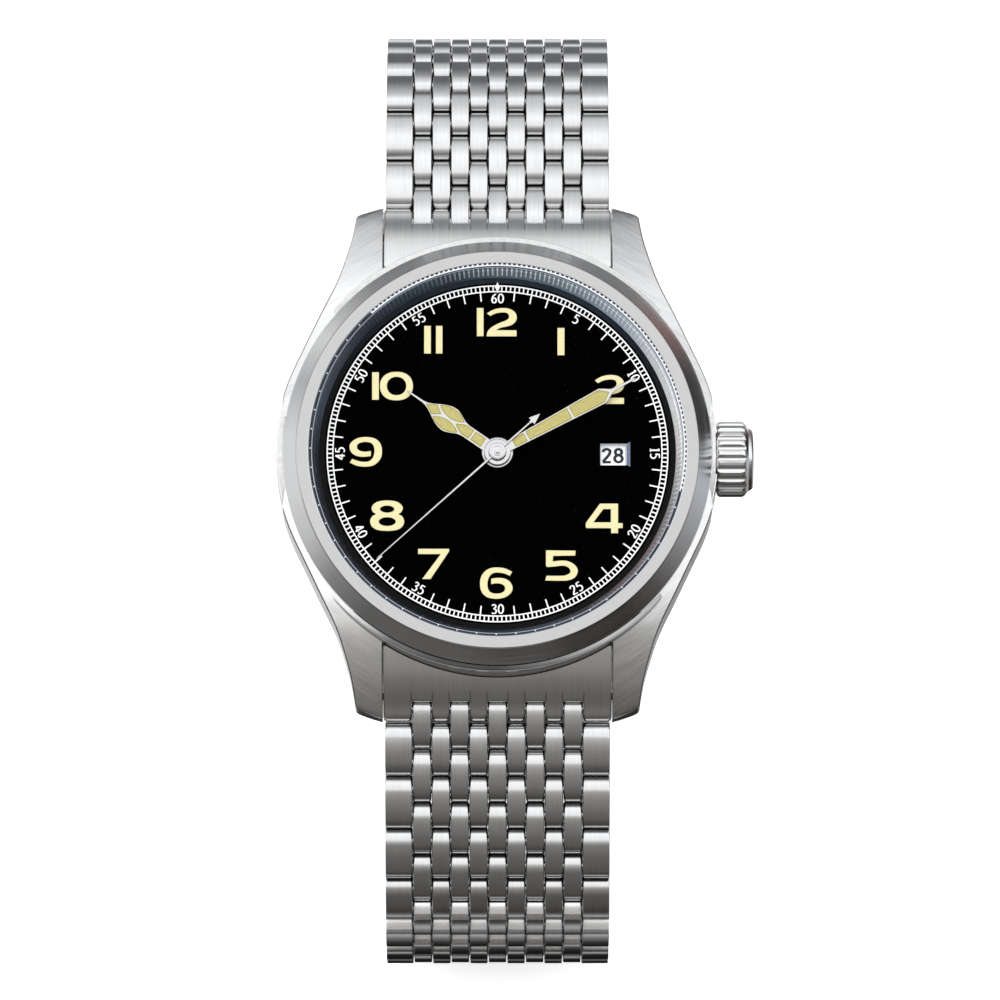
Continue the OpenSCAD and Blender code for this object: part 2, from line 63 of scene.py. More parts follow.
def spline(knots, n, corners=()):
    """Catmull-Rom points through the knots, n per span; a knot listed in corners stays sharp."""
    out = []
    for i in range(len(knots) - 1):
        p1, p2 = knots[i], knots[i + 1]
        p0 = knots[i - 1] if i > 0 and i not in corners else p1
        p3 = knots[i + 2] if i + 2 < len(knots) and (i + 1) not in corners else p2
        for k in range(n):
            t = k / n
            out.append(tuple(0.5 * (2 * b + (c - a) * t + (2 * a - 5 * b + 4 * c - d) * t * t + (3 * b - a - 3 * c + d) * t ** 3) for a, b, c, d in zip(p0, p1, p2, p3)))
    out.append(tuple(knots[-1]))
    return out


def outline(pts, n=4):
    """Closed outline; a point with a third entry is a sharp corner, the spans between others are curved."""
    start = next((i for i, p in enumerate(pts) if len(p) == 3), 0)
    ring = pts[start:] + pts[:start]
    knots = [p[:2] for p in ring] + [ring[0][:2]]
    marks = {i for i, p in enumerate(ring) if len(p) == 3} | ({len(ring)} if len(ring[0]) == 3 else set())
    if not marks:
        k = [p[:2] for p in pts]
        k = [k[-1]] + k + [k[0], k[1]]
        return spline(k, n)[n:-n - 1]
    out = []
    for i in range(len(knots) - 1):
        a, b = knots[i], knots[i + 1]
        if i in marks and i + 1 in marks:
            out.append(a)
            continue
        p0 = knots[i - 1] if i > 0 and i not in marks else a
        p3 = knots[i + 2] if i + 2 < len(knots) and (i + 1) not in marks else b
        for k in range(n):
            t = k / n
            out.append(tuple(0.5 * (2 * q + (r - p) * t + (2 * p - 5 * q + 4 * r - s) * t * t + (3 * q - p - 3 * r + s) * t ** 3) for p, q, r, s in zip(p0, a, b, p3)))
    return out


def table(pairs):
    """A smooth function through (x, value) pairs with rising x, without overshoot."""
    xs, ys = [p[0] for p in pairs], [p[1] for p in pairs]
    h = [xs[i + 1] - xs[i] for i in range(len(xs) - 1)]
    d = [(ys[i + 1] - ys[i]) / h[i] for i in range(len(h))]
    m = [d[0]] + [0.0 if d[i - 1] * d[i] <= 0 else 2 * d[i - 1] * d[i] / (d[i - 1] + d[i]) for i in range(1, len(d))] + [d[-1]]

    def f(x):
        if x <= xs[0]:
            return ys[0]
        if x >= xs[-1]:
            return ys[-1]
        i = max(k for k in range(len(h)) if xs[k] <= x)
        t = (x - xs[i]) / h[i]
        return (2 * t ** 3 - 3 * t * t + 1) * ys[i] + (t ** 3 - 2 * t * t + t) * h[i] * m[i] + (3 * t * t - 2 * t ** 3) * ys[i + 1] + (t ** 3 - t * t) * h[i] * m[i + 1]
    return f


def circle(r, n, cx=0.0, cy=0.0, a0=0.0):
    return [(cx + r * math.cos(a0 + 2 * math.pi * i / n), cy + r * math.sin(a0 + 2 * math.pi * i / n)) for i in range(n)]


def ellipse(cx, cy, rx, ry, n=40, p=2.0):
    out = []
    for i in range(n):
        a = 2 * math.pi * i / n
        c, s = math.cos(a), math.sin(a)
        out.append((cx + rx * math.copysign(abs(c) ** (2 / p), c), cy + ry * math.copysign(abs(s) ** (2 / p), s)))
    return out


def area(p):
    return 0.5 * sum(p[i - 1][0] * p[i][1] - p[i][0] * p[i - 1][1] for i in range(len(p)))


def turned(p, deg):
    c, s = math.cos(math.radians(deg)), math.sin(math.radians(deg))
    return [(x * c - y * s, x * s + y * c) for x, y in p]


# ---------------------------------------------------------------- mesh building


class Mesh:
    def __init__(self):
        self.v, self.f, self.m, self.uv = [], [], [], []

    def pts(self, points):
        i = len(self.v)
        self.v += [tuple(p) for p in points]
        return i

    def face(self, idx, mat=0, uv=None):
        self.f.append(tuple(idx))
        self.m.append(mat)
        self.uv.append(uv or [(self.v[i][0], self.v[i][1]) for i in idx])

    def grid(self, rows, mats, uvs, close_rows=False, close_cols=False, flip=False):
        """rows[i][j] points; mats is one number, or one for each column span j; uvs[i][j]."""
        nr, nc = len(rows), len(rows[0])
        base = self.pts([p for r in rows for p in r])
        for i in range(nr if close_rows else nr - 1):
            for j in range(nc if close_cols else nc - 1):
                i2, j2 = (i + 1) % nr, (j + 1) % nc
                idx = [base + i * nc + j, base + i2 * nc + j, base + i2 * nc + j2, base + i * nc + j2]
                ua, ub, uc, ud = uvs(i, j), uvs(i + 1, j), uvs(i + 1, j + 1), uvs(i, j + 1)
                uv = [ua, ub, uc, ud]
                if flip:
                    idx.reverse(), uv.reverse()
                self.face(idx, mats if isinstance(mats, int) else mats[j], uv)
        return base

    def make(self, name, mats, sharp=32, weighted=True, merge=1e-5):
        me = bpy.data.meshes.new(name)
        me.from_pydata([(x * S, y * S, z * S) for x, y, z in self.v], [], self.f)
        layer = me.uv_layers.new(name="brush")
        flat = [c for uv in self.uv for p in uv for c in p]
        layer.data.foreach_set("uv", flat)
        me.polygons.foreach_set("material_index", self.m)
        for m in mats:
            me.materials.append(m)
        import bmesh
        bm = bmesh.new()
        bm.from_mesh(me)
        if merge:
            bmesh.ops.remove_doubles(bm, verts=bm.verts, dist=merge * S * 10)
        bmesh.ops.dissolve_degenerate(bm, edges=bm.edges, dist=1e-8)
        bmesh.ops.recalc_face_normals(bm, faces=bm.faces)
        bm.to_mesh(me)
        bm.free()
        me.shade_smooth()
        me.set_sharp_from_angle(angle=math.radians(sharp))
        me.update()
        ob = bpy.data.objects.new(name, me)
        bpy.context.scene.collection.objects.link(ob)
        if weighted:
            w = ob.modifiers.new("weighted", "WEIGHTED_NORMAL")
            w.mode, w.weight, w.keep_sharp = "FACE_AREA", 50, True
        return ob


def lathe(mesh, prof, n=224, mats=0, axis="z", centre=(0, 0, 0), closed=True, a0=-math.pi / 2):
    """Turns a profile of (radius, height) points. UV: along the circle, across it, in mm."""
    cum = [0.0]
    for a, b in zip(prof, prof[1:] + prof[:1]):
        cum.append(cum[-1] + math.hypot(b[0] - a[0], b[1] - a[1]))
    rm = max(p[0] for p in prof)
    rows = []
    for i in range(n):
        a = a0 + 2 * math.pi * i / n
        c, s = math.cos(a), math.sin(a)
        if axis == "z":
            rows.append([(centre[0] + r * c, centre[1] + r * s, centre[2] + h) for r, h in prof])
        else:
            rows.append([(centre[0] + h, centre[1] + r * s, centre[2] + r * c) for r, h in prof])
    off = rnd.uniform(0, 90)
    mesh.grid(rows, mats, lambda i, j: (off + i * 2 * math.pi * rm / n, cum[j]), close_rows=True, close_cols=closed)


def slab(mesh, outer, holes, z0, z1, mats=(0, 0, 0), bevel=0.0, brush=0.0, xf=None):
    """Prism from an outline and holes, between two heights; mats are top, side, bottom; the top rim may be chamfered."""
    if area(outer) < 0:
        outer = outer[::-1]
    holes = [h if area(h) < 0 else h[::-1] for h in holes]
    c, s = math.cos(math.radians(brush)), math.sin(math.radians(brush))

    def uv(x, y):
        return (x * c + y * s, -x * s + y * c)
    loops = [outer] + holes
    tops = [inset(p, bevel) for p in loops] if bevel else loops
    T = xf or (lambda x, y, z: (x, y, z))
    tri = tessellate_polygon([[Vector((x, y, 0)) for x, y in p] for p in tops])
    flat_t, flat_b = [q for p in tops for q in p], [q for p in loops for q in p]
    it = mesh.pts([T(x, y, z1) for x, y in flat_t])
    ib = mesh.pts([T(x, y, z0) for x, y in flat_b])
    im = mesh.pts([T(x, y, z1 - bevel) for x, y in flat_b]) if bevel else it
    for t in tri:
        p = [flat_t[k] for k in t]
        t = list(t) if area(p) > 0 else list(t)[::-1]
        mesh.face([it + k for k in t], mats[0], [uv(*flat_t[k]) for k in t])
        mesh.face([ib + k for k in reversed(t)], mats[2], [uv(*flat_b[k]) for k in reversed(t)])
    o = 0
    for p in loops:
        n, run = len(p), 0.0
        for i in range(n):
            j = (i + 1) % n
            d = math.dist(p[i], p[j])
            mesh.face([ib + o + i, ib + o + j, im + o + j, im + o + i], mats[1], [(run, 0), (run + d, 0), (run + d, z1 - z0), (run, z1 - z0)])
            if bevel:
                mesh.face([im + o + i, im + o + j, it + o + j, it + o + i], mats[1], [(run, 0), (run + d, 0), (run + d, bevel), (run, bevel)])
            run += d
        o += n


def inset(p, d):
    """Outline moved inwards by d, or a hole's outwards, by mitres."""
    n, out = len(p), []
    for i in range(n):
        a, b, c = p[i - 1], p[i], p[(i + 1) % n]
        u = (b[0] - a[0], b[1] - a[1])
        w = (c[0] - b[0], c[1] - b[1])
        lu, lw = math.hypot(*u) or 1e-9, math.hypot(*w) or 1e-9
        n1, n2 = (-u[1] / lu, u[0] / lu), (-w[1] / lw, w[0] / lw)
        k = 1 + n1[0] * n2[0] + n1[1] * n2[1]
        k = max(k, 0.35)
        out.append((b[0] + d * (n1[0] + n2[0]) / k, b[1] + d * (n1[1] + n2[1]) / k))
    return out


def ribbon(path, wx, wy=None, closed=False):
    """Outline pieces of a pen stroke along a path: the pen is wx wide across upright strokes and wy across level ones.
    Returns its left and right edges.
    """
    wy = wx if wy is None else wy
    n = len(path)
    left, right = [], []
    for i in range(n):
        a = path[i - 1] if (i > 0 or closed) else path[i]
        b = path[(i + 1) % n] if (i < n - 1 or closed) else path[i]
        dx, dy = b[0] - a[0], b[1] - a[1]
        l = math.hypot(dx, dy) or 1e-9
        dx, dy = dx / l, dy / l
        w = 0.5 * math.sqrt((wx * dy) ** 2 + (wy * dx) ** 2)
        left.append((path[i][0] - dy * w, path[i][1] + dx * w))
        right.append((path[i][0] + dy * w, path[i][1] - dx * w))
    return left, right


def piece(mesh, name, mats, body, slot, nodes=(), **kw):
    ob = mesh.make(name, mats, **kw)
    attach(ob, body)
    if nodes:
        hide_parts(*nodes)
    return ob


# ---------------------------------------------------------------- materials


def new_mat(name):
    m = bpy.data.materials.new(name)
    m.use_nodes = True
    nt = m.node_tree
    nt.nodes.clear()
    out = nt.nodes.new("ShaderNodeOutputMaterial")
    bsdf = nt.nodes.new("ShaderNodeBsdfPrincipled")
    nt.links.new(bsdf.outputs[0], out.inputs[0])
    return m, nt, bsdf


def node(nt, kind, **kw):
    n = nt.nodes.new("ShaderNode" + kind)
    for k, v in kw.items():
        setattr(n, k, v)
    return n


def noise_on(nt, vec, scale, detail=3.0, rough=0.6):
    mp = node(nt, "Mapping")
    mp.inputs["Scale"].default_value = scale
    nt.links.new(vec, mp.inputs["Vector"])
    tx = node(nt, "TexNoise")
    tx.inputs["Scale"].default_value = 1.0
    tx.inputs["Detail"].default_value = detail
    tx.inputs["Roughness"].default_value = rough
    nt.links.new(mp.outputs[0], tx.inputs["Vector"])
    return tx.outputs["Fac"]


def ramp(nt, fac, stops):
    r = node(nt, "ValToRGB")
    e = r.color_ramp.elements
    while len(e) > 1:
        e.remove(e[0])
    e[0].position = stops[0][0]
    e[0].color = col4(stops[0][1])
    for p, c in stops[1:]:
        q = e.new(p)
        q.color = col4(c)
    nt.links.new(fac, r.inputs[0])
    return r.outputs[0]


def col4(c):
    if isinstance(c, (int, float)):
        return (c, c, c, 1)
    return (c[0], c[1], c[2], 1)


def map_range(nt, fac, a, b, c, d, smooth=False):
    m = node(nt, "MapRange", clamp=True)
    if smooth:
        m.interpolation_type = "SMOOTHSTEP"
    for i, v in zip((1, 2, 3, 4), (a, b, c, d)):
        m.inputs[i].default_value = v
    nt.links.new(fac, m.inputs[0])
    return m.outputs[0]


def bump(nt, bsdf, height, dist, strength=1.0):
    b = node(nt, "Bump")
    b.inputs["Strength"].default_value = strength
    b.inputs["Distance"].default_value = dist * S
    nt.links.new(height, b.inputs["Height"])
    nt.links.new(b.outputs[0], bsdf.inputs["Normal"])


def brushed(name, tint, rough=0.28, aniso=0.7, fine=9.0, along=0.16, depth=0.0016, spread=0.10, shade=0.10):
    """Brushed metal: lines run along U of the mesh's own map, whose unit is a millimetre."""
    m, nt, b = new_mat(name)
    uv = node(nt, "UVMap", uv_map="brush")
    lines = noise_on(nt, uv.outputs[0], (along, fine, 1), 4.0, 0.65)
    broad = noise_on(nt, uv.outputs[0], (along * 0.6, fine * 0.22, 1), 2.0, 0.5)
    lo, hi = [c * (1 - shade) for c in tint], [min(1, c * (1 + shade)) for c in tint]
    mix = node(nt, "Mix", data_type="FLOAT")
    mix.inputs[0].default_value = 0.35
    nt.links.new(lines, mix.inputs[2])
    nt.links.new(broad, mix.inputs[3])
    nt.links.new(ramp(nt, mix.outputs[0], [(0.3, lo), (0.7, hi)]), b.inputs["Base Color"])
    b.inputs["Metallic"].default_value = 1
    nt.links.new(map_range(nt, mix.outputs[0], 0.3, 0.7, rough - spread * 0.5, rough + spread * 0.5), b.inputs["Roughness"])
    b.inputs["Anisotropic"].default_value = aniso
    b.inputs["Anisotropic Rotation"].default_value = 0.25
    t = node(nt, "Tangent", direction_type="UV_MAP", uv_map="brush")
    nt.links.new(t.outputs[0], b.inputs["Tangent"])
    bump(nt, b, lines, depth)
    return m


def polished(name, tint, rough=0.1, spread=0.06, scale=900.0):
    """Polished metal with faint hairlines and wear in its gloss."""
    m, nt, b = new_mat(name)
    co = node(nt, "TexCoord")
    a = noise_on(nt, co.outputs["Object"], (scale, scale * 1.7, scale), 3.0)
    c = noise_on(nt, co.outputs["Object"], (scale * 4, scale * 9, scale * 5), 2.0)
    mix = node(nt, "Mix", data_type="FLOAT")
    mix.inputs[0].default_value = 0.5
    nt.links.new(a, mix.inputs[2])
    nt.links.new(c, mix.inputs[3])
    nt.links.new(map_range(nt, mix.outputs[0], 0.35, 0.65, rough - spread / 2, rough + spread / 2), b.inputs["Roughness"])
    nt.links.new(ramp(nt, mix.outputs[0], [(0.3, [x * 0.95 for x in tint]), (0.7, [min(1, x * 1.03) for x in tint])]), b.inputs["Base Color"])
    b.inputs["Metallic"].default_value = 1
    return m


def paint(name, lo, hi, rough=0.5, scale=6000.0, depth=0.004, spec=0.3, coat=0.0):
    """Printed or sprayed colour with a fine uneven surface."""
    m, nt, b = new_mat(name)
    co = node(nt, "TexCoord")
    a = noise_on(nt, co.outputs["Object"], (scale, scale, scale), 3.0)
    nt.links.new(ramp(nt, a, [(0.3, lo), (0.7, hi)]), b.inputs["Base Color"])
    nt.links.new(map_range(nt, a, 0.3, 0.7, rough - 0.06, rough + 0.06), b.inputs["Roughness"])
    b.inputs["Specular IOR Level"].default_value = spec
    if coat:
        b.inputs["Coat Weight"].default_value = coat
        b.inputs["Coat Roughness"].default_value = 0.05
    if depth:
        bump(nt, b, a, depth)
    return m


STEEL = (0.64, 0.645, 0.65)
M = {}
# each lug's steel gets its own tone, lightest on the lower left and darkest on the upper right: painted light and shade
for lug_name, tint in (("lug_12_left", 0.72), ("lug_12_right", 0.60), ("lug_6_left", 0.96), ("lug_6_right", 0.76)):
    M[lug_name] = brushed(lug_name + "_brushed", (tint, tint + 0.005, tint + 0.01), rough=0.27, aniso=0.7, fine=3.6, along=0.30, depth=0.0032, shade=0.16)
M["side_brushed"] = brushed("side_brushed", STEEL, rough=0.26, aniso=0.7, fine=7.0, along=0.12, depth=0.0016)
# the end links' steel is toned lighter than the bracelet's: painted light
M["end_brushed_painted_light"] = brushed("end_brushed_painted_light", (0.88, 0.88, 0.88), rough=0.22, aniso=0.7, fine=7.5, along=0.16, depth=0.0014, shade=0.07)
M["brick_brushed"] = brushed("brick_brushed", STEEL, rough=0.17, aniso=0.7, fine=7.0, along=0.25, depth=0.0012, shade=0.08, spread=0.06)
M["bezel_slope"] = brushed("bezel_slope", STEEL, rough=0.18, aniso=0.8, fine=8.5, along=0.10, depth=0.0018, shade=0.10)
M["bezel_flat"] = brushed("bezel_flat", (0.487, 0.487, 0.485), rough=0.20, aniso=0.2, fine=5.0, along=1.2, depth=0.0010, shade=0.03)
M["steel_polished"] = polished("steel_polished", (0.70, 0.705, 0.71), 0.09)
M["crown_polished"] = polished("crown_polished", (0.72, 0.725, 0.73), 0.10)
M["pin_steel"] = polished("pin_steel", (0.5, 0.5, 0.505), 0.2)
M["clasp_brushed"] = brushed("clasp_brushed", STEEL, rough=0.27, aniso=0.7, fine=7.0, along=0.12, depth=0.0016)
M["dial_black"] = paint("dial_black", (0.0003, 0.0003, 0.0004), (0.0008, 0.0008, 0.0009), rough=0.5, scale=4000, depth=0.002, spec=0.0)
M["print_white"] = paint("print_white", (0.80, 0.81, 0.82), (0.88, 0.89, 0.90), rough=0.5, depth=0.003)
M["cream"] = paint("cream", (0.665, 0.60, 0.325), (0.735, 0.68, 0.41), rough=0.55, scale=5000, depth=0.008)
M["hand_lume"] = paint("hand_lume", (0.37, 0.325, 0.10), (0.49, 0.44, 0.19), rough=0.55, scale=7000, depth=0.008)
M["hand_rim"] = paint("hand_rim", (0.24, 0.225, 0.02), (0.32, 0.30, 0.045), rough=0.5, scale=5000, depth=0.004)
M["hand_steel"] = polished("hand_steel", (0.63, 0.62, 0.62), 0.22)
M["hub_steel"] = polished("hub_steel", (0.62, 0.62, 0.63), 0.16)
M["dark_hole"] = paint("dark_hole", (0.01, 0.01, 0.01), (0.02, 0.02, 0.02), rough=0.6)
M["rehaut_rim"] = polished("rehaut_rim", (0.45, 0.5, 0.6), 0.12)
M["gasket"] = paint("gasket", (0.012, 0.012, 0.013), (0.03, 0.03, 0.032), rough=0.6)
# the gasket's glints and its thin blue-grey line: painted highlight and painted reflection
M["gasket_painted_reflection"] = paint("gasket_painted_reflection", (0.06, 0.09, 0.15), (0.16, 0.21, 0.31), rough=0.4)
M["gasket_glint"] = paint("gasket_glint", (0.62, 0.66, 0.72), (0.74, 0.78, 0.84), rough=0.4)
M["date_white"] = paint("date_white", (0.78, 0.80, 0.84), (0.86, 0.88, 0.91), rough=0.45)
# dark steel for the faces in the gaps between and under the bricks: painted shade
M["gap_steel_painted_shade"] = polished("gap_steel_painted_shade", (0.10, 0.10, 0.10), 0.4)
M["date_wall"] = paint("date_wall", (0.60, 0.63, 0.67), (0.74, 0.77, 0.80), rough=0.45)
M["date_ink"] = paint("date_ink", (0.008, 0.008, 0.01), (0.02, 0.02, 0.022), rough=0.5)
# the blue-grey of the date window's outer bevel is a painted reflection
M["window_frame"] = paint("window_frame", (0.075, 0.09, 0.145), (0.16, 0.18, 0.25), rough=0.4)


def ring_painted_light(name, tones):
    """Lacquer with light and shade painted into its tone around the ring; tones are (bearing in degrees from +X,
    colour).
    """
    m, nt, b = new_mat(name)
    co = node(nt, "TexCoord")
    sp = node(nt, "SeparateXYZ")
    nt.links.new(co.outputs["Object"], sp.inputs[0])
    at = node(nt, "Math", operation="ARCTAN2")
    nt.links.new(sp.outputs[1], at.inputs[0])
    nt.links.new(sp.outputs[0], at.inputs[1])
    base = ramp(nt, map_range(nt, at.outputs[0], -math.pi, math.pi, 0, 1), [((a + 180) / 360, c) for a, c in tones])
    a = noise_on(nt, co.outputs["Object"], (2500, 2500, 2500), 3.0)
    mul = node(nt, "Mix", data_type="RGBA", blend_type="MULTIPLY")
    mul.inputs[0].default_value = 1.0
    nt.links.new(base, mul.inputs[6])
    nt.links.new(ramp(nt, a, [(0.3, 0.85), (0.7, 1.0)]), mul.inputs[7])
    nt.links.new(mul.outputs[2], b.inputs["Base Color"])
    nt.links.new(map_range(nt, a, 0.3, 0.7, 0.3, 0.42), b.inputs["Roughness"])
    b.inputs["Specular IOR Level"].default_value = 0.1
    return m


# the chapter ring's wall: painted light and shade, lightest between 1 and 3 o'clock and darkest near 7 o'clock
M["rehaut"] = ring_painted_light("rehaut", [
    (-180, (0.03, 0.037, 0.044)), (-150, (0.022, 0.026, 0.034)), (-120, (0.014, 0.016, 0.022)), (-90, (0.025, 0.032, 0.042)), (-75, (0.06, 0.072, 0.095)), (-60, (0.056, 0.054, 0.062)), (-45, (0.15, 0.118, 0.125)), (-30, (0.21, 0.17, 0.18)), (-15, (0.32, 0.315, 0.32)),
    (0, (0.70, 0.70, 0.705)), (15, (0.95, 0.98, 1.0)), (30, (0.84, 0.90, 0.96)), (45, (0.56, 0.68, 0.82)), (60, (0.34, 0.45, 0.58)), (75, (0.25, 0.33, 0.43)), (90, (0.19, 0.26, 0.335)), (105, (0.07, 0.10, 0.14)), (120, (0.055, 0.08, 0.11)), (135, (0.046, 0.063, 0.092)), (150, (0.085, 0.107, 0.14)), (165, (0.085, 0.113, 0.155)), (180, (0.03, 0.037, 0.044))])
# the marks' tone: painted highlight between 12 and 3 o'clock, painted shade round the rest
M["rehaut_mark_painted_light"] = ring_painted_light("rehaut_mark_painted_light", [
    (-180, (0.10, 0.12, 0.14)), (-90, (0.10, 0.12, 0.14)), (-45, (0.22, 0.19, 0.2)), (-30, (0.34, 0.31, 0.32)), (-15, (0.58, 0.58, 0.58)), (0, (0.97, 0.97, 0.97)), (30, (1.0, 1.0, 1.0)), (60, (1.0, 1.0, 1.0)), (90, (0.98, 1.0, 1.0)), (100, (0.62, 0.68, 0.74)), (112, (0.16, 0.2, 0.25)), (135, (0.075, 0.095, 0.125)), (180, (0.10, 0.12, 0.14))])
# the foot of the chapter ring: painted shade, nearly black, with a faint painted navy reflection between 11 and 2
# o'clock
M["rehaut_foot_painted_shade"] = ring_painted_light("rehaut_foot_painted_shade", [
    (-180, 0.001), (10, 0.001), (40, (0.006, 0.009, 0.013)), (62, (0.011, 0.018, 0.025)), (90, (0.012, 0.021, 0.029)), (115, (0.009, 0.015, 0.021)), (135, (0.004, 0.006, 0.009)), (160, 0.001), (180, 0.001)])


def painted_light_metal(name, tones, rough=0.2):
    """Polished metal with light and shade painted into its tone around the ring."""
    m = ring_painted_light(name, tones)
    b = next(n for n in m.node_tree.nodes if n.bl_idname == "ShaderNodeBsdfPrincipled")
    b.inputs["Metallic"].default_value = 1
    for l in [l for l in m.node_tree.links if l.to_socket == b.inputs["Roughness"]]:
        l.from_node.inputs[3].default_value, l.from_node.inputs[4].default_value = rough - 0.04, rough + 0.04
    return m


# lighter and darker copies of the brick steel for the steep ends on the 6 side: painted light and painted shade
for name, tint, metal in (("brick_end_painted_light", 0.95, 0.66), ("brick_end_painted_shade", 0.80, 0.88)):
    M[name] = brushed(name, (tint, tint, tint), rough=0.17, aniso=0.7, fine=7.0, along=0.25, depth=0.0012, shade=0.03, spread=0.06)
    for n in M[name].node_tree.nodes:
        if n.bl_idname == "ShaderNodeBsdfPrincipled":
            n.inputs["Metallic"].default_value = metal
# the case's shoulder: painted light and shade around the ring, darkest near 6 o'clock
M["case_shoulder_painted_light"] = painted_light_metal("case_shoulder_painted_light", [
    (-180, 0.72), (-165, 0.60), (-150, 0.64), (-135, 0.86), (-120, 0.17), (-105, 0.086), (-90, 0.067), (-75, 0.20), (-60, 0.46), (-45, 0.43), (-30, 0.30), (-15, 0.23), (0, 0.78), (15, 0.55), (30, 0.65), (45, 0.53), (60, 0.58), (75, 0.65), (90, 0.61), (105, 0.67), (120, 0.66), (150, 0.60), (165, 0.64), (180, 0.72)])


def glass(name, lo=0.006, hi=0.5):
    m, nt, b = new_mat(name)
    lw = node(nt, "LayerWeight")
    lw.inputs["Blend"].default_value = 0.35
    co = node(nt, "TexCoord")
    a = noise_on(nt, co.outputs["Object"], (700, 700, 700), 2.0)
    nt.links.new(map_range(nt, a, 0.3, 0.7, 0.015, 0.035), b.inputs["Roughness"])
    nt.links.new(ramp(nt, a, [(0.3, (0.010, 0.014, 0.025)), (0.7, (0.014, 0.02, 0.035))]), b.inputs["Base Color"])
    nt.links.new(map_range(nt, lw.outputs["Facing"], 0.25, 0.97, lo, hi), b.inputs["Alpha"])
    b.inputs["IOR"].default_value = 1.76
    return m


M["crystal"] = glass("crystal", 0.0002, 0.45)
M["crystal_edge"] = glass("crystal_edge", 0.01, 0.06)

# ---------------------------------------------------------------- mid case and lugs

CASE_R, TOP = 19.3, 7.9
mc = Mesh()
prof = [(15.9, 1.3), (18.5, 1.3), (18.8, 1.5), (19.05, 1.8), (19.18, 2.3), (19.26, 2.8), (19.285, 4.4), (19.27, 6.4), (19.23, 7.45), (19.17, 7.66), (19.09, 7.70), (18.96, 7.72), (18.72, 7.74), (18.70, 7.5), (17.3, 7.5), (17.3, 8.85), (15.9, 8.85)]
m_prof = [0, 0, 0, 0, 0, 0, 0, 0, 1, 1, 2, 2, 1, 1, 1, 1, 1]
lathe(mc, prof, 256, m_prof)
ring_ob = mc.make("case_ring", [M["side_brushed"], M["steel_polished"], M["case_shoulder_painted_light"]])
cut = Mesh()
lathe(cut, [(0.0, 18.98), (3.55, 18.98), (3.55, 21.5), (0.0, 21.5)], 96, 0, axis="x", centre=(0, 0, 4.6), closed=False)
cut_ob = cut.make("seat_cutter", [M["steel_polished"]], weighted=False)
bo = ring_ob.modifiers.new("seat", "BOOLEAN")
bo.operation, bo.solver, bo.object = "DIFFERENCE", "EXACT", cut_ob
with bpy.context.temp_override(object=ring_ob, active_object=ring_ob):
    bpy.ops.object.modifier_move_to_index(modifier="seat", index=0)
    bpy.ops.object.modifier_apply(modifier="seat")
bpy.data.objects.remove(cut_ob)

lug_top = table([(4, 7.9), (9.5, 7.9), (12.2, 7.75), (14.6, 7.35), (16.8, 6.65), (18.8, 5.75), (20.6, 4.7), (22, 3.6), (22.8, 2.72)])
lug_bot = table([(4, 1.3), (11.5, 1.3), (14, 1.15), (16.5, 0.7), (19.2, 0.2), (21, 0.2), (22.3, 0.55), (22.8, 1.2)])
edge = spline([(18.6, 3.2), (18.72, 4.6), (18.35, 6.0), (17.72, 7.55), (17.05, 8.95), (15.5, 12.2), (14.1, 15.1), (13.3, 17.4), (12.75, 19.4), (12.42, 21.25)], 7)
edge += spline([(12.42, 21.25), (12.36, 21.6), (12.05, 21.9), (11.0, 22.32), (10.0, 22.68)], 5)[1:]


def chain_in(points, d):
    out = []
    for i, p in enumerate(points):
        a, b = points[max(i - 1, 0)], points[min(i + 1, len(points) - 1)]
        dx, dy = b[0] - a[0], b[1] - a[1]
        l = math.hypot(dx, dy)
        out.append((p[0] - d * dy / l, p[1] + d * dx / l))
    return out


def lug(sx, sy, name, brush):
    me = Mesh()
    ch, cb, ci = 0.11, 0.18, 0.06
    up, low = chain_in(edge, ch), chain_in(edge, cb)
    rows = []
    for k in range(len(edge)):
        o, a, b = edge[k], up[k], low[k]
        ay = a[1]
        xi = max(10 + ci, math.sqrt(max(17.55 ** 2 - ay * ay, 0.0)))
        ax, bx = max(a[0], xi + 0.01), max(b[0], xi + 0.01)
        rows.append([(xi, ay, lug_top(ay)), ((ax + xi) / 2, ay, lug_top(ay)), (ax, ay, lug_top(ay)), (o[0], o[1], lug_top(o[1]) - ch * 0.9), (o[0], o[1], lug_bot(o[1]) + cb),
                     (bx, b[1], lug_bot(b[1])), (xi, ay, lug_bot(ay)), (xi - ci, ay, lug_bot(ay) + ci), (xi - ci, ay, lug_top(ay) - ci)])
    rows = [[(sx * x, sy * y, z) for x, y, z in r] for r in rows]
    c, s = math.cos(math.radians(brush)), math.sin(math.radians(brush))
    flat = len(rows[0])
    run = [0.0]
    for k in range(1, len(edge)):
        run.append(run[-1] + math.dist(edge[k - 1], edge[k]))
    off = rnd.uniform(0, 50)
    mats = [0, 0, 1, 2, 1, 0, 1, 2, 1]

    base = me.pts([p for r in rows for p in r])
    for i in range(len(rows) - 1):
        for j in range(flat):
            j2 = (j + 1) % flat
            idx = [base + i * flat + j, base + (i + 1) * flat + j, base + (i + 1) * flat + j2, base + i * flat + j2]
            pts = [me.v[q] for q in idx]
            if j in (3, 7):  # side faces: brushed along the lug
                uv = [(run[i] + off, pts[0][2]), (run[i + 1] + off, pts[1][2]), (run[i + 1] + off, pts[2][2]), (run[i] + off, pts[3][2])]
            else:
                uv = [(p[0] * c + p[1] * s + off, -p[0] * s + p[1] * c) for p in pts]
            me.face(idx, mats[j], uv)
    me.face([base + j for j in range(flat)], 1)
    me.face([base + (len(rows) - 1) * flat + j for j in range(flat)], 1)
    return piece(me, name, [M[name], M["steel_polished"], M["side_brushed"]], "case", "case_steel", sharp=28)


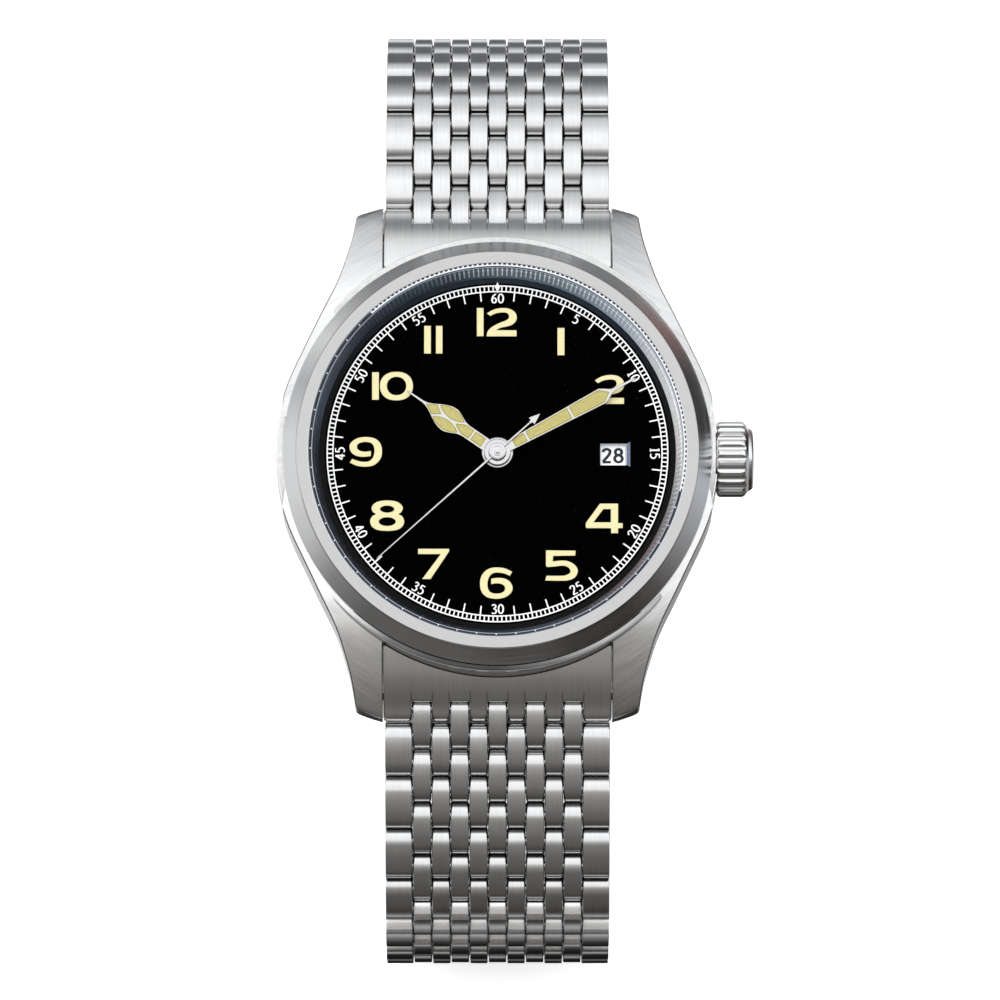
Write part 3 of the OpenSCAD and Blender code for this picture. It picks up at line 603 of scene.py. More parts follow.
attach(ring_ob, "case")
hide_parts("mid_case")
lug(-1, 1, "lug_12_left", 33)
lug(1, 1, "lug_12_right", -33)
lug(-1, -1, "lug_6_left", -33)
lug(1, -1, "lug_6_right", 33)

# ---------------------------------------------------------------- bezel, crystal, chapter ring

bz = Mesh()
prof = [(17.32, 7.92), (18.60, 7.92), (18.65, 7.96), (18.65, 8.10), (18.635, 8.17), (17.55, 9.735), (17.47, 9.90), (17.41, 9.948), (17.36, 9.95), (16.47, 9.95), (16.43, 9.93), (16.42, 9.90), (16.42, 8.95), (17.32, 8.95)]
lathe(bz, prof, 288, [1, 1, 0, 0, 0, 2, 2, 2, 2, 1, 1, 1, 1, 1])
piece(bz, "bezel_ring", [M["bezel_slope"], M["steel_polished"], M["bezel_flat"]], "case", "bezel_steel", ["bezel"], sharp=24)

cr = Mesh()
prof = [(0.0, 9.1), (15.95, 9.1), (16.0, 9.15), (16.0, 10.0), (15.96, 10.08), (15.8, 10.22), (15.7, 10.255)]
prof += [(r, 10.35 - 0.1 * (r / 15.75) ** 2) for r in (14, 12, 9, 6, 3, 1)] + [(0.0, 10.35)]
lathe(cr, prof, 224, [0, 1, 1, 1, 1, 1] + [0] * 8, closed=False)
piece(cr, "crystal_glass", [M["crystal"], M["crystal_edge"]], "case", "crystal", ["crystal"], sharp=30)

# the gasket: a dark ring whose rim is split into fine segments; from about 10 round to 3 o'clock they carry painted
# glints and a painted highlight line, elsewhere a thin blue-grey painted reflection line and sparse painted glints
gk = Mesh()
lathe(gk, [(16.17, 8.97), (16.40, 8.97), (16.40, 9.70), (16.18, 9.70)], 240)
for r0, r1, z, part, n in ((16.30, 16.415, 9.87, 0.60, 240), (16.19, 16.30, 9.86, 0.0, 240)):
    for k in range(n):
        a0 = 1.5 * k + 0.375
        b = (90 - a0) % 360  # clockwise from 12
        painted_glint_side = b < 104 or b > 318
        if painted_glint_side:
            cuts = [(0.0, part, 0), (part, 1.0, 1)] if part else [(0.0, 1.0, 1)]
        elif part:
            cuts = [(0.0, 1.0, 0)]
        else:
            cuts = [(0.0, 0.38, 0), (0.38, 0.62, 1), (0.62, 1.0, 0)] if k % 4 == 3 else [(0.0, 1.0, 0)]
        for u0, u1, mat in cuts:
            q = []
            for u in (u0, (u0 + u1) / 2, u1):
                a = math.radians(a0 + 1.5 * u)
                q.append([(r * math.cos(a), r * math.sin(a), h) for r, h in ((r0, z), (r1, z), (r1, 9.7), (r0, 9.7))])
            gk.grid(q, mat, lambda i, j: (i * 0.2, j * 0.1), close_cols=True)
            if part and not painted_glint_side:
                q = [[(r * c, r * s, h) for r, h in ((16.365, 9.872), (16.41, 9.872), (16.41, 9.868), (16.365, 9.868))]
                     for c, s in [(math.cos(math.radians(a0 + 1.5 * u)), math.sin(math.radians(a0 + 1.5 * u))) for u in (0.0, 0.5, 1.0)]]
                gk.grid(q, 2, lambda i, j: (i * 0.2, j * 0.1), close_cols=True)
piece(gk, "crystal_gasket_ring", [M["gasket"], M["gasket_glint"], M["gasket_painted_reflection"]], "case", "gasket", ["crystal_gasket"], weighted=False, sharp=20)

ch = Mesh()
lathe(ch, [(15.52, 7.72), (15.86, 7.72), (15.90, 8.8), (16.03, 8.92), (16.15, 9.55), (16.10, 9.55), (16.03, 9.13), (15.94, 9.07)], 256, [1, 1, 1, 1, 1, 0, 0, 0])
piece(ch, "rehaut_ring", [M["rehaut"], M["rehaut_rim"]], "case", "rehaut", ["chapter_ring"])
fo = Mesh()
lathe(fo, [(15.04, 7.700), (15.53, 7.700), (15.53, 7.722), (15.05, 7.708)], 256, 0)
piece(fo, "rehaut_foot_painted_shade", [M["rehaut_foot_painted_shade"]], "case", "rehaut")


# a stroke up the chapter ring's wall and over its rim, a hair in front of it
WALL = [(15.62, 8.047), (15.78, 8.57), (15.935, 9.075), (16.02, 9.135), (16.055, 9.33), (16.09, 9.53)]
wt = Mesh()
for k in range(240):
    b = 1.5 * k  # clockwise from 12
    # from 5 to 10 o'clock only every fourth mark is drawn, short and narrow, so the marks in shade barely show
    side = b < 150 or b > 300
    if not side and k % 4:
        continue
    path, w = (WALL if k % 4 == 0 else [(15.66, 8.178)] + WALL[1:], 0.066) if side else (WALL[1:3], 0.05)
    c, s = math.sin(math.radians(b)), math.cos(math.radians(b))
    rows = []
    for r, h in path:
        rows.append([(q * c + d * s, q * s - d * c, h + 0.006 + e) for q, d, e in ((r - 0.007, -w, 0), (r - 0.007, w, 0), (r - 0.001, w, -0.01), (r - 0.001, -w, -0.01))])
    base = wt.grid(rows, 0, lambda i, j: (i * 0.1, j * 0.1), close_cols=True)
    wt.face([base, base + 1, base + 2, base + 3])
    wt.face([base + 4 * (len(rows) - 1) + q for q in (3, 2, 1, 0)])
piece(wt, "rehaut_marks", [M["rehaut_mark_painted_light"]], "case", "print_white", weighted=False, merge=0)

# ---------------------------------------------------------------- dial and its prints

DZ = 7.7
WX0, WX1, WY0, WY1 = 8.95, 11.22, -1.04, 0.84
dl = Mesh()
window = [(WX0, WY0), (WX1, WY0), (WX1, WY1), (WX0, WY1)]
slab(dl, circle(15.82, 224), [circle(1.0, 40), window], 7.3, DZ)
piece(dl, "dial_plate", [M["dial_black"]], "case", "dial_black", ["dial"], weighted=False)


def arc_band(mesh, r0, r1, a0, a1, n, z0, z1, mat=0):
    """Flat raised band between two radii from angle a0 to a1, degrees clockwise from 12."""
    def at(r, a):
        t = math.radians(a)
        return (r * math.sin(t), r * math.cos(t))
    full = abs(a1 - a0) >= 359.999
    if full:
        slab(mesh, circle(r1, n), [circle(r0, n)], z0, z1, (mat,) * 3)
    else:
        angs = [a0 + (a1 - a0) * i / n for i in range(n + 1)]
        slab(mesh, [at(r1, a) for a in angs] + [at(r0, a) for a in reversed(angs)], [], z0, z1, (mat,) * 3)


TZ = DZ + 0.018
tr = Mesh()
arc_band(tr, 14.755, 14.87, 0, 360, 240, DZ, TZ)
arc_band(tr, 14.26, 14.365, 0, 360, 240, DZ, TZ)
for i in range(240):
    a = i * 1.5
    w = math.degrees(0.056 / 14.56)
    arc_band(tr, 14.36, 14.76, a - w, a + w, 1, DZ, TZ)
for i in range(60):
    if i % 5:
        w = math.degrees(0.058 / 13.9)
        arc_band(tr, 13.50, 14.255, i * 6 - w, i * 6 + w, 1, DZ, TZ)
slab(tr, [(-0.24, 14.62), (0.24, 14.62), (0.0, 15.16)], [], DZ, TZ + 0.004)
slab(tr, [(-0.15, 14.62), (0.15, 14.62), (0.0, 14.15)], [], DZ, TZ + 0.004)
piece(tr, "minute_track", [M["print_white"]], "case", "print_white", weighted=False)

# digits drawn as pen strokes in a box 0.62 wide and 1 high
DIG = {
    "0": [([(0.31 + 0.235 * math.sin(t), 0.5 + 0.45 * math.cos(t)) for t in [2 * math.pi * i / 28 for i in range(28)]], True)],
    "1": [([(0.33, 0.03), (0.33, 0.95)], False), ([(0.33, 0.93), (0.17, 0.83)], False), ([(0.17, 0.04), (0.49, 0.04)], False)],
    "2": [(spline([(0.10, 0.74), (0.14, 0.88), (0.30, 0.95), (0.47, 0.87), (0.50, 0.72), (0.40, 0.50), (0.22, 0.26), (0.09, 0.07)], 4), False), ([(0.07, 0.05), (0.55, 0.05)], False)],
    "3": [(spline([(0.11, 0.83), (0.28, 0.95), (0.46, 0.86), (0.45, 0.68), (0.27, 0.54)], 4), False), (spline([(0.25, 0.54), (0.45, 0.46), (0.53, 0.28), (0.42, 0.09), (0.24, 0.05), (0.08, 0.12)], 4), False)],
    "4": [([(0.42, 0.03), (0.42, 0.95)], False), ([(0.42, 0.95), (0.05, 0.30)], False), ([(0.05, 0.28), (0.60, 0.28)], False)],
    "5": [([(0.50, 0.94), (0.17, 0.94)], False), ([(0.17, 0.96), (0.13, 0.56)], False), (spline([(0.12, 0.57), (0.32, 0.61), (0.51, 0.46), (0.51, 0.22), (0.32, 0.05), (0.09, 0.11)], 4), False)],
    "6": [([(0.315 + 0.205 * math.sin(t), 0.30 + 0.25 * math.cos(t)) for t in [2 * math.pi * i / 26 for i in range(26)]], True), (spline([(0.50, 0.94), (0.34, 0.86), (0.19, 0.68), (0.115, 0.46), (0.11, 0.30)], 4), False)],
    "7": [([(0.08, 0.94), (0.54, 0.94)], False), (spline([(0.54, 0.94), (0.36, 0.55), (0.24, 0.03)], 4), False)],
    "8": [([(0.31 + 0.19 * math.sin(t), 0.745 + 0.205 * math.cos(t)) for t in [2 * math.pi * i / 24 for i in range(24)]], True), ([(0.31 + 0.225 * math.sin(t), 0.29 + 0.24 * math.cos(t)) for t in [2 * math.pi * i / 24 for i in range(24)]], True)],
    "9": [([(0.305 + 0.205 * math.sin(t), 0.70 + 0.25 * math.cos(t)) for t in [2 * math.pi * i / 26 for i in range(26)]], True), (spline([(0.12, 0.06), (0.28, 0.14), (0.43, 0.32), (0.505, 0.54), (0.51, 0.70)], 4), False)],
}
WID = {"1": 0.46}


def write(mesh, text, height, pen, z0, z1, place, mat=0, squeeze=1.0, gap=0.06):
    """Digits side by side, centred; place(x, y) puts a point of the text's own plane on the dial."""
    wide = [WID.get(c, 0.62) for c in text]
    total = sum(wide) + gap * (len(text) - 1)
    x = -total / 2
    for k, c in enumerate(text):
        shift = 0.08 if c == "1" else 0.0
        for path, closed in DIG[c]:
            pts = [((x + px - shift) * height * squeeze, (py - 0.5) * height) for px, py in path]
            l, r = ribbon(pts, pen[0], pen[1], closed)
            if closed:
                slab(mesh, [place(*p) for p in l], [[place(*p) for p in r]], z0, z1, (mat,) * 3) if abs(area([place(*p) for p in l])) > abs(area([place(*p) for p in r])) else slab(mesh, [place(*p) for p in r], [[place(*p) for p in l]], z0, z1, (mat,) * 3)
            else:
                slab(mesh, [place(*p) for p in l + r[::-1]], [], z0, z1, (mat,) * 3)
            z1 += 0.0004
        x += wide[k] + gap


mn = Mesh()
for i in range(1, 13):
    a = math.radians(i * 30)
    out = (math.sin(a), math.cos(a))
    if i in (4, 5, 6, 7, 8):
        up, rt = (-out[0], -out[1]), (-out[1], out[0])
    else:
        up, rt = out, (out[1], -out[0])
    R = 13.70
    write(mn, str(i * 5), 0.87, (0.135, 0.088), DZ, TZ, lambda x, y, R=R, out=out, up=up, rt=rt: (out[0] * R + rt[0] * x + up[0] * y, out[1] * R + rt[1] * x + up[1] * y))
piece(mn, "minute_numerals", [M["print_white"]], "case", "print_white", weighted=False)

# hour numerals: outlines on a sheet whose unit is 1/11.5 mm, y downwards; the sheet's point (497.5, 453.4) is the dial's centre
TILT = math.radians(9.5)


def on_dial(p):
    u = (453.4 - p[1]) / 11.5
    y = 950 * u / (950 * math.cos(TILT) - u * math.sin(TILT))
    return ((p[0] - 497.5) / 11.5 * (950 + y * math.sin(TILT)) / 950, y)


def moved(p, dx, dy, kx=1.0, ky=1.0, ox=0.0, oy=0.0):
    return [((q[0] - ox) * kx + ox + dx, (q[1] - oy) * ky + oy + dy) + tuple(q[2:]) for q in p]


two = [(486.6, 336.3, 1), (516.6, 336.3, 1), (516.6, 330.3, 1), (495.9, 330.1, 1), (500.7, 327.7), (506.2, 326.6), (511.0, 325.2), (514.4, 322.9), (516.3, 320.2), (516.8, 317.4), (516.0, 313.7), (513.5, 310.8), (509.4, 308.7), (503.6, 307.9), (497.5, 308.5), (492.0, 310.3), (487.0, 313.3, 1),
       (490.3, 316.0, 1), (494.5, 313.8), (499.0, 312.7), (503.6, 312.4), (506.8, 312.9), (508.5, 314.3), (509.0, 316.2), (508.5, 318.4), (506.0, 320.4), (500.7, 322.4), (494.0, 325.7), (489.5, 329.0), (487.3, 332.3)]
nine = [(352.3, 458.8, 1), (349.8, 462.6, 1), (357.0, 465.8), (366.0, 466.8), (373.6, 465.3), (378.9, 461.2), (381.5, 456.3), (382.0, 451.0), (381.5, 446.4), (379.0, 441.6), (373.9, 438.2), (366.0, 437.0), (358.0, 438.1), (352.4, 441.3), (349.9, 444.6), (349.5, 447.2), (350.2, 450.4), (353.0, 454.0), (358.0, 456.3), (364.0, 456.9), (370.9, 456.1, 1),
        (370.9, 450.9, 1), (366.2, 451.7), (361.2, 451.2), (358.0, 449.5), (357.0, 447.0), (357.9, 444.3), (361.3, 442.5), (366.0, 442.0), (370.6, 442.8), (373.4, 445.3), (374.5, 449.2), (374.3, 453.6), (372.6, 458.2), (369.2, 461.1), (364.5, 461.9), (358.0, 461.0)]
six = [(480.1 + 382.0 - q[0], 567.5 + (466.8 - q[1]) * 31.5 / 29.8) + tuple(q[2:]) for q in nine]
lobe = [(387.2, 500.5), (394.6, 501.2), (400.0, 503.6), (402.7, 507.2), (402.3, 510.4), (400.9, 512.6), (398.5, 514.2), (401.6, 515.9), (403.6, 518.8), (404.2, 522.0), (402.8, 526.2), (398.6, 529.4), (393.2, 530.7), (387.2, 531.0)]
eight = lobe + [(774.4 - x, y) for x, y in reversed(lobe[1:-1])]
five = [(546.0, 550.4, 1), (575.6, 550.8, 1), (575.3, 555.7, 1), (553.2, 556.0, 1), (552.7, 561.6, 1), (563.0, 560.6), (569.9, 562.0), (575.4, 565.7), (577.8, 570.4), (576.7, 575.2), (573.3, 578.6), (568.1, 580.5), (562.0, 580.9), (545.2, 580.7, 1),
        (546.6, 575.9, 1), (561.5, 575.9), (566.4, 575.1), (569.8, 573.2), (570.5, 571.0), (569.0, 568.1), (565.4, 566.2), (560.7, 565.9), (554.4, 566.7), (547.5, 567.2, 1), (546.0, 566.0, 1)]
seven = [(418.1, 548.9, 1), (449.2, 548.9, 1), (449.2, 551.4, 1), (430.6, 579.2, 1), (422.2, 579.2, 1), (440.8, 554.2, 1), (418.1, 554.2, 1)]
four = [(600.0, 503.7, 1), (618.1, 503.7, 1), (618.1, 523.2, 1), (622.7, 523.2, 1), (622.7, 528.2, 1), (618.1, 528.2, 1), (618.1, 533.3, 1), (611.1, 533.3, 1), (611.1, 528.3, 1), (586.2, 528.2, 1), (585.7, 526.4, 1), (585.9, 523.0, 1)]


def bar(x0, x1, y0, y1):
    return [(x0, y0, 1), (x1, y0, 1), (x1, y1, 1), (x0, y1, 1)]


NZ = DZ + 0.05
hn = Mesh()
glyphs = [
    (bar(476.9, 483.6, 307.9, 336.2), []), (two, []),
    (moved(two, 594.6 - 486.7, 374.9 - 307.9, 29.6 / 30.1, 29.1 / 28.4, 486.7, 307.9), []),
    (bar(557.5, 564.5, 327.9, 355.2), []),
    (bar(424.2, 430.9, 325.8, 353.5), []), (bar(436.0, 442.5, 325.8, 353.5), []),
    (bar(372.1, 378.9, 372.2, 399.8), []), (ellipse(396.5, 386.1, 16.5, 14.3, 56, 2.25), [ellipse(396.6, 386.0, 9.7, 9.2, 44, 2.1)]),
    (nine, []), (six, []),
    (eight, [ellipse(387.2, 509.2, 7.2, 3.5, 32), ellipse(387.3, 521.7, 8.5, 4.4, 32)]),
    (four, [[(603.4, 509.2, 1), (610.9, 509.2, 1), (610.9, 522.4, 1), (593.4, 522.4, 1)]]),
    (five, []), (seven, []),
]
for o, hs in glyphs:
    pts = outline([tuple(p) for p in o]) if len(o[0]) == 3 or len(o) < 36 else [p[:2] for p in o]
    holes = [outline([tuple(p) for p in h]) if len(h[0]) == 3 else h for h in hs]
    slab(hn, [on_dial(p) for p in pts], [[on_dial(p) for p in h] for h in holes], DZ, NZ, bevel=0.02)
piece(hn, "hour_numerals", [M["cream"]], "case", "lume_cream", weighted=False)

# date window: its wall down to the disc, and the bevel on its outer side, whose blue-grey is a painted reflection
wf = Mesh()


def rounded(x0, x1, y0, y1, r, n=4):
    out = []
    for cx, cy, a in ((x1 - r, y0 + r, -90), (x1 - r, y1 - r, 0), (x0 + r, y1 - r, 90), (x0 + r, y0 + r, 180)):
        out += [(cx + r * math.cos(math.radians(a + 90 * k / n)), cy + r * math.sin(math.radians(a + 90 * k / n))) for k in range(n + 1)]
    return out


low = rounded(WX0 + 0.05, WX1 - 0.13, WY0 + 0.05, WY1 - 0.03, 0.09)
top = rounded(WX0, WX1, WY0, WY1, 0.14)
back = rounded(WX0 - 0.05, WX1 + 0.05, WY0 - 0.05, WY1 + 0.05, 0.14)
loops = [[(x, y, DZ + 0.006) for x, y in top], [(x, y, 7.16) for x, y in low], [(x, y, 7.15) for x, y in back], [(x, y, DZ - 0.02) for x, y in back]]
base = wf.pts([p for l in loops for p in l])
nl = len(top)
for i in range(4):
    for j in range(nl):
        i2, j2 = (i + 1) % 4, (j + 1) % nl
        wf.face([base + i * nl + j, base + i * nl + j2, base + i2 * nl + j2, base + i2 * nl + j])
bevel = [(WX1 + 0.02, WY0 + 0.02), (WX1 + 0.30, WY0 - 0.13), (WX1 + 0.33, WY0 - 0.10), (WX1 + 0.33, WY1 + 0.16), (WX1 + 0.28, WY1 + 0.17), (WX1 + 0.02, WY1 + 0.02)]
slab(wf, bevel, [], DZ - 0.01, DZ + 0.012, (1, 1, 1))
piece(wf, "date_window_frame", [M["date_wall"], M["window_frame"]], "case", "polished_steel", sharp=20, weighted=False)

# date disc print: 31 numbers, each upright at 3 o'clock
dn = Mesh()
for d in range(31):
    num = str((28 - 1 + d) % 31 + 1)
    a = math.radians(d * 360 / 31)
    R0, Y0 = 10.02, -0.10
    write(dn, num, 1.27, (0.27, 0.225), 7.12, 7.135, lambda x, y, a=a: ((R0 + x) * math.cos(a) - (Y0 + y) * math.sin(a), (R0 + x) * math.sin(a) + (Y0 + y) * math.cos(a)), squeeze=1.16, gap=0.07)
piece(dn, "date_numbers", [M["date_ink"]], "date", "print_white", weighted=False)

# ---------------------------------------------------------------- hands


def hand_xf(deg):
    c, s = math.cos(math.radians(-deg)), math.sin(math.radians(-deg))
    return lambda x, y, z: (x * c - y * s, x * s + y * c, z)


def mirrored(side):
    """Closed outline from its right half, given from the bottom up."""
    return side + [(-x, y) for x, y in reversed(side) if x > 1e-6]


HOUR, MINUTE, SECOND = 304.8, 61.5, 228.0
hh, hl = Mesh(), Mesh()
T = hand_xf(HOUR)
right = [(0.575, 0.95), (0.575, 3.35)] + spline([(0.575, 3.35), (0.66, 3.8), (0.92, 4.35), (1.12, 4.85), (1.15, 5.25), (1.05, 5.75), (0.78, 6.35), (0.52, 6.8), (0.34, 7.15), (0.19, 7.5), (0.11, 7.9)], 3)[1:] + [(0.085, 9.3), (0.04, 9.55)]
slab(hh, mirrored(right), [], 8.05, 8.19, bevel=0.025, xf=T)
lathe(hh, [(0.8, 8.05), (1.33, 8.05), (1.35, 8.09), (1.35, 8.16), (1.30, 8.2), (0.86, 8.2), (0.8, 8.17)], 96, 1)
piece(hh, "hour_hand_body", [M["hand_steel"], M["hub_steel"]], "hours", "hand_steel", ["hour_hand"])


def lume(mesh, pts, z, xf, rim=0.08):
    if area(pts) < 0:
        pts = pts[::-1]
    slab(mesh, pts, [], z, z + 0.004, (1, 1, 1), xf=xf)
    slab(mesh, inset(pts, rim), [], z + 0.001, z + 0.010, (0, 0, 0), xf=xf)


def vesica(x0, y0, x1, y1, half, n=10):
    dx, dy = x1 - x0, y1 - y0
    l = math.hypot(dx, dy)
    px, py = -dy / l, dx / l
    a = [(x0 + dx * t + px * half * math.sin(math.pi * t) ** 0.8, y0 + dy * t + py * half * math.sin(math.pi * t) ** 0.8) for t in [i / n for i in range(n + 1)]]
    b = [(x0 + dx * t - px * half * math.sin(math.pi * t) ** 0.8, y0 + dy * t - py * half * math.sin(math.pi * t) ** 0.8) for t in [i / n for i in range(n - 1, 0, -1)]]
    return a + b


HZ = 8.19
lume(hl, [(-0.44, 1.5), (0.44, 1.5), (0.44, 2.60), (-0.44, 2.60)], HZ, T)
lume(hl, [(-0.45, 2.76), (0.45, 2.76), (0.47, 3.55), (0.30, 3.98), (0.0, 4.45), (-0.30, 3.98), (-0.47, 3.55)], HZ, T)
for sx in (-1, 1):
    lume(hl, [(sx * x, y) for x, y in vesica(0.545, 3.84, 0.60, 6.50, 0.475)], HZ, T)
lume(hl, [(0.0, 5.94), (0.2, 6.22), (0.50, 6.68), (0.32, 7.02), (0.0, 7.58), (-0.32, 7.02), (-0.50, 6.68), (-0.2, 6.22)], HZ, T)
piece(hl, "hour_hand_lume", [M["hand_lume"], M["hand_rim"]], "hours", "lume_cream", weighted=False)

mh, ml = Mesh(), Mesh()
T = hand_xf(MINUTE)
right = [(0.455, 0.8), (0.72, 10.35), (0.6, 10.62), (0.16, 11.35), (0.125, 11.6), (0.105, 13.4), (0.03, 13.69)]
slab(mh, mirrored(right), [], 8.38, 8.52, bevel=0.025, xf=T)
lathe(mh, [(0.5, 8.38), (1.13, 8.38), (1.15, 8.42), (1.15, 8.49), (1.10, 8.53), (0.56, 8.53), (0.5, 8.5)], 96, 1)
piece(mh, "minute_hand_body", [M["hand_steel"], M["hub_steel"]], "minutes", "hand_steel", ["minute_hand"])


def half_w(y):
    return 0.455 + (0.72 - 0.455) * (y - 0.8) / 9.55 - 0.10


for y0, y1 in ((1.6, 2.78), (2.98, 7.14)):
    lume(ml, [(-half_w(y0), y0), (half_w(y0), y0), (half_w(y1), y1), (-half_w(y1), y1)], 8.52, T)
lume(ml, [(-half_w(7.34), 7.34), (half_w(7.34), 7.34), (half_w(10.3), 10.3), (0.0, 11.08), (-half_w(10.3), 10.3)], 8.52, T)
piece(ml, "minute_hand_lume", [M["hand_lume"], M["hand_rim"]], "minutes", "lume_cream", weighted=False)

sh = Mesh()
T = hand_xf(SECOND)
slab(sh, mirrored([(0.075, -3.85), (0.09, -1.0), (0.09, 2.0), (0.055, 13.9), (0.02, 14.14)]), [], 8.69, 8.77, bevel=0.02, xf=T)
right = [(0.0, -5.0), (0.10, -4.76), (0.23, -4.44), (0.385, -4.02), (0.35, -3.96), (0.17, -4.02), (0.09, -3.74)]
slab(sh, mirrored(right), [], 8.69, 8.77, bevel=0.02, xf=T)
lathe(sh, [(0.17, 8.69), (0.70, 8.69), (0.73, 8.71), (0.73, 8.77), (0.68, 8.8), (0.5, 8.82), (0.42, 8.795), (0.34, 8.82), (0.17, 8.82)], 72, 1)
lathe(sh, [(0.0, 8.96), (0.13, 8.96), (0.2, 8.93), (0.22, 8.81), (0.0, 8.81)], 40, 1, closed=False)
piece(sh, "second_hand_body", [M["hand_steel"], M["hub_steel"]], "seconds", "hand_steel", ["second_hand"])

# ---------------------------------------------------------------- crown

cw = Mesh()
CR, NF = 3.3, 22
prof = [(0.0, 0.0), (2.6, 0.0), (2.8, 0.0), (3.05, 0.08), (3.18, 0.16), (3.25, 0.26), (3.3, 0.4), (3.3, 0.9), (3.3, 1.5), (3.3, 2.1), (3.29, 2.25), (3.25, 2.38), (3.18, 2.5), (3.06, 2.6), (2.95, 2.69), (2.84, 2.78), (2.76, 2.83), (2.73, 2.92), (2.68, 3.05), (2.58, 3.17), (2.45, 3.24), (2.0, 3.28), (1.2, 3.31), (0.0, 3.32)]
per = 20
rows = []
for i in range(NF * per):
    a = 2 * math.pi * i / (NF * per)
    k = (i % per) / per  # 0 at a ridge's middle, 0.5 at a flute's middle
    d = (k - 0.5) * 2 * math.pi / NF
    # distance from the axis to the flute's surface along this direction
    rc, rf = CR + 0.085, 0.29
    disc = rf * rf - (rc * math.sin(d)) ** 2
    cut_r = rc * math.cos(d) - math.sqrt(disc) if disc > 0 else 99.0
    edge_r = CR - 0.03 * clamp(1 - abs(abs(d) - 0.085) / 0.012, 0, 1)
    rows.append([(19.03 + h, min(r, cut_r, edge_r if 0.1 < h < 2.8 and r > 3.2 else r) * math.sin(a), 4.6 + min(r, cut_r, edge_r if 0.1 < h < 2.8 and r > 3.2 else r) * math.cos(a)) for r, h in prof])
cum = [0.0]
for a, b in zip(prof, prof[1:]):
    cum.append(cum[-1] + math.dist(a, b))
cw.grid(rows, 0, lambda i, j: (cum[j] if j < len(cum) else cum[-1], i * 0.05), close_rows=True)
piece(cw, "crown_knob", [M["crown_polished"]], "crown", "crown_steel", ["crown"], sharp=24)

# ---------------------------------------------------------------- bracelet

STEP, BR, PR = 2.4, 1.1, 0.4
P0 = (21.6, 2.05)
SLOPES = {12: [21, 13, 13, 17, 23, 42, 47, 57, 63, 69, 76, 84, 92, 102, 111, 120, 130, 140, 149, 159, 170, 180],
          6: [22, 21, 23, 25, 28, 33, 41, 52, 62, 72, 80, 87, 92, 97, 104, 114, 127, 141, 155, 166, 174, 180]}


def col_x(i):
    return -9.8 if i == 0 else 9.8 if i == 11 else (i - 5.5) * 1.645


def pins(side):
    p = [P0]
    for s in SLOPES[side]:
        p.append((p[-1][0] + STEP * math.cos(math.radians(s)), p[-1][1] - STEP * math.sin(math.radians(s))))
    return p


def insets(w):
    """Stations across a brick: (distance from its side, profile inset, end inset)."""
    B, C = 0.09, 0.11
    out = []
    for d in (0.0, 0.02, 0.05, 0.09, 0.14, 0.20):
        e = B - math.sqrt(max(B * B - (B - d) ** 2, 0)) if d < B else 0.0
        c = C - math.sqrt(max(C * C - (C - d) ** 2, 0)) if d < C else 0.0
        out.append((d, e * 0.9, c * 0.8))
    return out


CROWN = {12: 0.11, 6: 0.10}


def stadium(p, q, r, cut, sag, n_arc=18, n_flat=8):
    """Loop round two pins in the [y, z] plane, starting at the top above p; returns (y, z, height over the pins)."""
    l = math.dist(p, q)
    u = ((q[0] - p[0]) / l, (q[1] - p[1]) / l)
    n = (-u[1], u[0])
    mid = ((p[0] + q[0]) / 2, (p[1] + q[1]) / 2)
    half = l / 2 - cut
    top = []  # along the brick, over it, for the crowned outer side
    for k in range(n_flat):
        a = -half + 2 * half * k / n_flat
        top.append((a, r - sag * (a / half) ** 2))
    end = []
    for k in range(n_arc + 1):
        t = math.pi * k / n_arc
        # the ends stand a little fuller below, where a brick meets its neighbour
        full = 0.075 * (clamp((t - 1.15) / 0.4, 0, 1) if t < 1.6 else math.sin(t) ** 0.5 if t < math.pi - 1e-6 else 0.0)
        if t < math.pi / 2:
            end.append((half + (r + full) * math.sin(t), (r - sag) * math.cos(t) - 2 * sag * r / half * math.sin(t) * math.cos(t) ** 2))
        else:
            end.append((half + (r + full) * math.sin(t), r * math.cos(t)))
    under = [(half - 2 * half * k / 3, -r) for k in (1, 2)]
    loop = top + end + under + [(-a, h) for a, h in reversed(end)]
    return [(mid[0] + u[0] * a + n[0] * h, mid[1] + u[1] * a + n[1] * h, h) for a, h in loop[:-1]]


